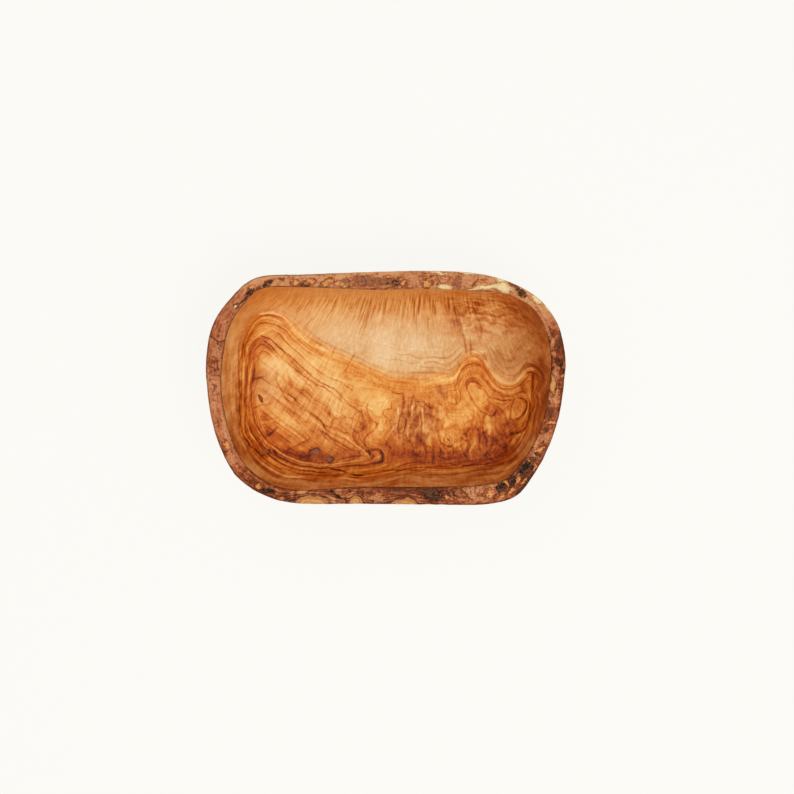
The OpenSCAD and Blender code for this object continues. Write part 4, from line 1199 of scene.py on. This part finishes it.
class FRUITBOWL_OT_carve_body(bpy.types.Operator):
    """Carve the block: flat foot, swelling outer wall, ledge under the bark and superelliptic hollow"""

    bl_idname = "fruit_bowl.carve_body"
    bl_label = "Carve the body"

    COLUMNS = 480
    FOOT_ROWS = 8
    WALL_ROWS = 26
    HOLLOW_ROWS = 168
    # Rows of the ledge, as shares of the way across the rim
    LEDGE = (0.02, 0.3, 0.7, 0.98)
    # Steps in which the hollow's curve is measured, to space its rows evenly along it
    MEASURED = 6000

    def execute(self, context):
        shape = bowl_shape(context)
        sizes = shape.sizes
        outer, inner = shape.outline(self.COLUMNS)

        def lift(plan, z):
            return np.concatenate((plan, np.broadcast_to(z, plan.shape[:1])[:, None]), -1)

        rows = [lift(outer * sizes.foot_share * t, 0.0) for t in np.linspace(0, 1, self.FOOT_ROWS + 1)[1:]]
        # The wall swells along an arc of an ellipse, from the foot's angle to upright at the outline.
        top = shape.wood_z(*outer.T)
        start, cosine = math.sin(sizes.foot_angle), math.cos(sizes.foot_angle)
        for angle in np.linspace(sizes.foot_angle, math.pi / 2, self.WALL_ROWS + 1)[1:]:
            grown = (math.sin(angle) - start) / (1 - start)
            share = sizes.foot_share + (1 - sizes.foot_share) * grown
            rows.append(lift(outer * share, top * (cosine - math.cos(angle)) / cosine))
        for across in self.LEDGE:
            plan = outer + (inner - outer) * across
            rows.append(lift(plan, shape.wood_z(*plan.T)))
        outside = len(rows) * self.COLUMNS

        # The hollow's rows lie evenly along its curve, measured at its mean reach and depth.
        depth = shape.wood_z(*inner.T) - sizes.floor
        fine = 1 - np.linspace(0, 1, self.MEASURED) ** 2
        drop = 1 - np.sqrt(1 - fine ** sizes.hollow_power)
        steps = np.hypot(np.diff(fine) * np.linalg.norm(inner, axis=1).mean(), np.diff(drop) * depth.mean())
        along = np.concatenate(((0,), np.cumsum(steps)))
        for share in np.interp(np.linspace(0, along[-1], self.HOLLOW_ROWS + 1)[:-1], along, fine):
            fallen = 1 - math.sqrt(1 - share ** sizes.hollow_power)
            rows.append(lift(inner * share, sizes.floor + depth * fallen))

        points = np.concatenate((*rows, ((0, 0, sizes.floor), (0, 0, 0))))
        pole = len(points) - 2
        faces = (grid_faces(len(rows), self.COLUMNS),
                 fan_faces(self.COLUMNS, (len(rows) - 1) * self.COLUMNS, pole, True),
                 fan_faces(self.COLUMNS, 0, pole + 1, False))
        x, y, z = points.T
        figure = outside_figure(shape, x, y, z)
        hollow = slice(outside, pole + 1)
        for key, value in hollow_figure(shape, x[hollow], y[hollow]).items():
            figure[key][hollow] = value
        add_piece("olive_bowl", points, faces, olive_wood_material(context.scene.fruit_bowl_colours),
                  "bowl_body", figure)
        return {"FINISHED"}


def rim_masks(shape, x, y):
    """How deep each place on the rim lies in patches of each kind: 1 in a middle, 0 on a border, to -1."""
    masks = {kind: np.full_like(x, -1.0) for kind in RIM_KINDS}
    uneven = shaken(x, y, 2.4 * MM, 6 * MM, 3, (61, 65))
    for kind, px, py, rx, ry, turn in RIM_PATCHES:
        place = shape.from_photo((px, py), on_rim=True)[0]
        half = np.array((rx, ry)) * PHOTO_PIXEL
        masks[kind] = np.maximum(masks[kind], oval_depth(*uneven, place, half, math.radians(turn)))
    return masks


def rim_crack(shape, x, y):
    """1 along the cracks, fading to 0 beside them."""
    crack = np.zeros_like(x)
    for half_width, *line in RIM_CRACKS:
        near = line_distance(x, y, shape.from_photo(line, on_rim=True))
        crack = np.maximum(crack, 1 - ease(*CRACK_FADE, near / (half_width * PHOTO_PIXEL)))
    return crack


def rim_shade(to_right, to_back):
    """How much lighter the bark is: the sum of the shades, each times an eased step for each range."""
    total = np.zeros_like(to_right)
    for _, shade, along, over in RIM_SHADES:
        steps = [ease(*ends, to_right) for ends in along] + [ease(*ends, to_back) for ends in over]
        total += shade * np.prod(steps, axis=0)
    return total


class FRUITBOWL_OT_leave_natural_edge(bpy.types.Operator):
    """Leave the inner bark on: a ring, as high as a flat-topped arch of the way across plus relief"""

    bl_idname = "fruit_bowl.leave_natural_edge"
    bl_label = "Leave the natural edge"

    COLUMNS = 1400
    TOP_ROWS = 38
    UNDER_ROWS = 4
    # Power of the arch, higher for a flatter top
    ARCH = 14
    # Height, size and seed of the wrinkles, and the share of them that bare wood loses
    WRINKLES = ((0.56 * MM, 9 * MM, 7), (0.352 * MM, 2.4 * MM, 19))
    SMOOTHED = 0.6
    # How far the skin sinks into the wood, bare wood lies lower, lumps and crust higher and cracks deeper
    SUNK = 0.25 * MM
    BARE = 0.3 * MM
    LUMP = 0.6 * MM
    CRUST = 0.2 * MM
    CRACK = 0.9 * MM
    # How ragged the outer border is
    RAGGED = 0.45 * MM

    def execute(self, context):
        shape = bowl_shape(context)
        outer, inner = shape.outline(self.COLUMNS)
        over = (1 - np.cos(np.linspace(0, math.pi, self.TOP_ROWS))) / 2
        under = np.linspace(1, 0, self.UNDER_ROWS + 2)[1:-1]
        across = np.concatenate((over, under))[:, None]
        rows = len(across)
        top = (np.arange(rows) < self.TOP_ROWS)[:, None]
        plan = outer + (inner - outer) * across[..., None]
        x, y = plan[..., 0], plan[..., 1]

        masks = rim_masks(shape, x, y)
        crack = rim_crack(shape, x, y)
        bare = ease(-0.1, 0.25, np.maximum(masks["pale"], masks["tan"]))
        rough = sum(height * relief(x, y, size, 3, seed) for height, size, seed in self.WRINKLES)
        thick = (shape.sizes.skin + rough * (1 - self.SMOOTHED * bare) - self.BARE * bare
                 + self.LUMP * ease(-0.2, 0.7, masks["worn"])
                 + self.CRUST * ease(-0.1, 0.25, masks["crust"]) - self.CRACK * crack)
        arch = np.sqrt(1 - np.abs(2 * across - 1) ** self.ARCH)
        z = shape.wood_z(x, y) + np.where(top, arch * thick, 0) - self.SUNK
        ragged = self.RAGGED * relief(x, y, 6 * MM, 3, 3) * (1 - across) ** 2
        width = np.linalg.norm(outer - inner, axis=1)
        plan = plan + (outer - inner) / width[:, None] * ragged[..., None]
        points = np.concatenate((plan, z[..., None]), -1)
        first = np.arange(self.COLUMNS)
        following = (first + 1) % self.COLUMNS
        last = (rows - 1) * self.COLUMNS
        seam = np.stack((last + first, last + following, following, first), -1)

        # Painted shade along both edges of the bark: on the outer one where it rounds away from the light,
        # and on the inner one as the shadow where the rim meets the hollow. The outer edge at the back gets
        # a painted highlight instead, where the light catches it. The edge value is this painted shade,
        # with the cracks.
        to_right, to_back = x / shape.half[0], y / shape.half[1]
        sunlit = ease(-0.5, -0.1, to_right) * ease(0.3, 0.8, to_back)
        outer_edge_shade = 0.55 * (1 - sunlit) * ease(0.16, 0.03, across) * (1 - 0.7 * bare)
        inner_edge_shadow = 0.7 * (1 - 0.6 * sunlit) * ease(0.15, 0.0, 1 - across)
        edge = np.maximum.reduce((outer_edge_shade, inner_edge_shadow, 0.75 * crack))
        # The light value also gets a painted highlight on the outer edge at the back, where the light
        # catches it
        light = (rim_shade(to_right, to_back) + 0.25 * relief(x, y, 40 * MM, 2, 31)
                 + 0.25 * sunlit * ease(0.16, 0.02, across))
        scarred = 1 - 0.4 * ease(-0.6, -0.9, to_right)
        round_trip = 2 * math.pi * first / self.COLUMNS
        reach = np.linalg.norm(outer - np.roll(outer, 1, 0), axis=1).sum() / (2 * math.pi)
        values = {**masks, "edge": edge, "light": light, "scarred": scarred, "way": across * width,
                  "turn_x": np.broadcast_to(reach * np.cos(round_trip), x.shape),
                  "turn_y": np.broadcast_to(reach * np.sin(round_trip), x.shape)}
        add_piece("live_edge", points.reshape(-1, 3), (grid_faces(rows, self.COLUMNS), seam),
                  inner_bark_material(context.scene.fruit_bowl_colours), "natural_edge",
                  values)
        return {"FINISHED"}


class FRUITBOWL_OT_stick_bark(bpy.types.Operator):
    """Stick the outer bark on: rows of chips, each an oval plug with a ragged border and a scaly top"""

    bl_idname = "fruit_bowl.stick_bark"
    bl_label = "Stick the outer bark"

    RINGS = 9
    COLUMNS = 40
    CHIPS = 5
    SEED = 50
    THICK = 0.9 * MM
    # Share of the patch that the chips' middles keep to, the share of the skin that they are set into, and
    # the most that they lean either way
    SPREAD = 0.8
    SET = 0.8
    LEAN = math.radians(30)

    def execute(self, context):
        shape = bowl_shape(context)
        turn = np.arange(self.COLUMNS) * 2 * math.pi / self.COLUMNS
        share = np.linspace(1, 0, self.RINGS + 1)[:-1, None]
        points, faces, weather = [], [], []
        for number, (px, py, rx, ry, tilt, weathered) in enumerate(BARK_PATCHES):
            middle = shape.from_photo((px, py), on_rim=True)[0]
            for chip in range(self.CHIPS):
                seed = self.SEED + number * self.CHIPS + chip
                spin, out, big = (float(hashed(np.int64(seed), np.int64(k), 5)) for k in range(3))
                ragged = 1 + 0.9 * relief(2.2 * np.cos(turn), 2.2 * np.sin(turn), 1.0, 3, seed)
                long, wide = turned(rx * (0.24 + 0.2 * big) * np.cos(turn) * ragged * share,
                                    ry * (0.34 + 0.3 * spin) * np.sin(turn) * ragged * share,
                                    self.LEAN * (2 * big - 1))
                u, v = turned(self.SPREAD * rx * (2 * (chip + spin) / self.CHIPS - 1) + long,
                              self.SPREAD * ry * (out - 0.5) + wide, math.radians(tilt))
                x, y = middle[0] + PHOTO_PIXEL * u, middle[1] + PHOTO_PIXEL * v
                scaly = (0.6 + relief(x, y, 2.2 * MM, 3, seed)).clip(0.15, 1.2)
                top = shape.rim_z(x, y) + self.THICK * scaly * np.sqrt(1 - share ** 6)
                bottom = shape.rim_z(x[0], y[0]) - self.SET * shape.sizes.skin
                chip_points, chip_faces = plug(x, y, top, bottom, (x[-1].mean(), y[-1].mean()),
                                               sum(len(group) for group in points))
                points.append(chip_points)
                faces.extend(chip_faces)
                weather.append(np.full(len(chip_points), weathered))
        add_piece("bark_crust", np.concatenate(points), faces,
                  outer_bark_material(context.scene.fruit_bowl_colours), "bark_scabs",
                  {"weather": np.concatenate(weather)})
        return {"FINISHED"}


class FRUITBOWL_OT_set_knots(bpy.types.Operator):
    """Set the dead knots: oval plugs with an uneven border and a low dome that follows the hollow"""

    bl_idname = "fruit_bowl.set_knots"
    bl_label = "Set the dead knots"

    RINGS = 16
    COLUMNS = 96
    SEED = 70
    DOME = 0.25 * MM

    def execute(self, context):
        shape = bowl_shape(context)
        material = dead_knot_material(context.scene.fruit_bowl_colours)
        turn = np.arange(self.COLUMNS) * 2 * math.pi / self.COLUMNS
        share = np.linspace(1, 0, self.RINGS + 1)[:-1, None]
        for number, (node, px, py, rx, ry, tilt, lightness, side) in enumerate(KNOTS):
            middle = (px * MM, py * MM)
            uneven = 1 + 0.5 * relief(1.4 * np.cos(turn), 1.4 * np.sin(turn), 1.0, 1, self.SEED + number)
            u, v = turned(rx * MM * np.cos(turn) * uneven * share, ry * MM * np.sin(turn) * uneven * share,
                          math.radians(tilt))
            x, y = middle[0] + u, middle[1] + v
            top = shape.hollow_z(x, y) + self.DOME * np.sqrt(1 - share ** 4)
            bottom = shape.hollow_z(x[0], y[0]) - shape.sizes.knot_depth
            points, faces = plug(x, y, top, bottom, middle)
            inward = np.broadcast_to(1 - share, x.shape).ravel()
            depth = lightness * np.concatenate((np.zeros(self.COLUMNS), inward, (1, 0)))
            facing = np.arctan2(points[:, 1] - middle[1], points[:, 0] - middle[0]) - math.radians(side)
            add_piece("plug_" + node, points, faces, material, node,
                      {"depth": depth, "barked": ease(-0.5, 0.9, np.cos(facing))})
        return {"FINISHED"}


class FRUITBOWL_OT_build_stage(bpy.types.Operator):
    """Build the stage: a pale floor, soft light from above and a camera that looks straight down"""

    bl_idname = "fruit_bowl.build_stage"
    bl_label = "Build the stage"

    FLOOR_HALF = 4.0
    # Colours of the light, linear and a little warm
    ROOM_LIGHT = (1.0, 0.985, 0.965)
    LAMP_LIGHT = (1.0, 0.975, 0.945)
    # Softboxes: name, place and which setting gives the power
    SOFTBOXES = (("front softbox", (0.5, -0.75, 1.6), "key"), ("back softbox", (-0.6, 0.8, 1.6), "fill"))
    SOFTBOX_SIZE = 1.0
    SENSOR = 36.0

    def execute(self, context):
        scene = context.scene
        settings = scene.fruit_bowl_stage
        half = self.FLOOR_HALF
        corners = [(-half, -half, 0), (half, -half, 0), (half, half, 0), (-half, half, 0)]
        mesh = bpy.data.meshes.new("stage_floor")
        mesh.from_pydata(corners, [], [(0, 1, 2, 3)])
        mesh.materials.append(floor_material(scene.fruit_bowl_colours))
        floor = bpy.data.objects.new("stage_floor", mesh)
        scene.collection.objects.link(floor)

        world = bpy.data.worlds.new("soft room")
        world.use_nodes = True
        tree = world.node_tree
        tree.nodes.clear()
        light, pale = (
            add_node(tree, "Background", {"Color": (*colour, 1), "Strength": strength})
            for colour, strength in (
                (self.ROOM_LIGHT, settings.world), (scene.fruit_bowl_colours.floor, 1.0)))
        room = add_node(tree, "MixShader", (seen_directly(tree), light, pale))
        add_node(tree, "OutputWorld", {"Surface": room}, output=None)
        scene.world = world

        for name, place, power in self.SOFTBOXES:
            lamp = bpy.data.lights.new(name, "AREA")
            lamp.size = self.SOFTBOX_SIZE
            lamp.energy = getattr(settings, power)
            lamp.color = self.LAMP_LIGHT
            box = bpy.data.objects.new(name, lamp)
            box.location = place
            aim = -np.array(place)
            box.rotation_euler = (math.atan2(math.hypot(aim[0], aim[1]), -aim[2]), 0,
                                  math.atan2(aim[1], aim[0]) - math.pi / 2)
            scene.collection.objects.link(box)

        lens = bpy.data.cameras.new("photo camera")
        lens.sensor_width = self.SENSOR
        lens.lens = self.SENSOR * PHOTO_DISTANCE / (2 * PHOTO_MIDDLE * PHOTO_PIXEL)
        camera = bpy.data.objects.new("photo camera", lens)
        camera.location = (*PHOTO_AXIS, PHOTO_RIM_Z + PHOTO_DISTANCE)
        scene.collection.objects.link(camera)
        scene.camera = camera
        scene.view_settings.view_transform = "Standard"
        return {"FINISHED"}


class FRUITBOWL_PT_panel(bpy.types.Panel):
    """Sidebar panel with the settings and the steps in order"""

    bl_idname = "FRUITBOWL_PT_panel"
    bl_label = "Fruit Bowl"
    bl_space_type = "VIEW_3D"
    bl_region_type = "UI"
    bl_category = "Fruit Bowl"

    def draw(self, context):
        for group in (context.scene.fruit_bowl_sizes, context.scene.fruit_bowl_colours,
                      context.scene.fruit_bowl_stage):
            box = self.layout.box()
            for name in group.__annotations__:
                box.prop(group, name)
        for step in STEPS:
            self.layout.operator(step.bl_idname)


STEPS = (FRUITBOWL_OT_carve_body, FRUITBOWL_OT_leave_natural_edge, FRUITBOWL_OT_stick_bark,
         FRUITBOWL_OT_set_knots, FRUITBOWL_OT_build_stage)
CLASSES = (BowlSizes, BowlColours, StageSettings, *STEPS, FRUITBOWL_PT_panel)


def register():
    """Register the classes and put the settings on the scene."""
    for cls in CLASSES:
        bpy.utils.register_class(cls)
    bpy.types.Scene.fruit_bowl_sizes = bpy.props.PointerProperty(type=BowlSizes)
    bpy.types.Scene.fruit_bowl_colours = bpy.props.PointerProperty(type=BowlColours)
    bpy.types.Scene.fruit_bowl_stage = bpy.props.PointerProperty(type=StageSettings)


def unregister():
    """Take the settings off the scene and unregister the classes."""
    del bpy.types.Scene.fruit_bowl_stage
    del bpy.types.Scene.fruit_bowl_colours
    del bpy.types.Scene.fruit_bowl_sizes
    for cls in reversed(CLASSES):
        bpy.utils.unregister_class(cls)


def main():
    """Build the bowl and its stage."""
    register()
    for step in STEPS:
        group, name = step.bl_idname.split(".")
        getattr(getattr(bpy.ops, group), name)()


if __name__ == "__main__":
    main()
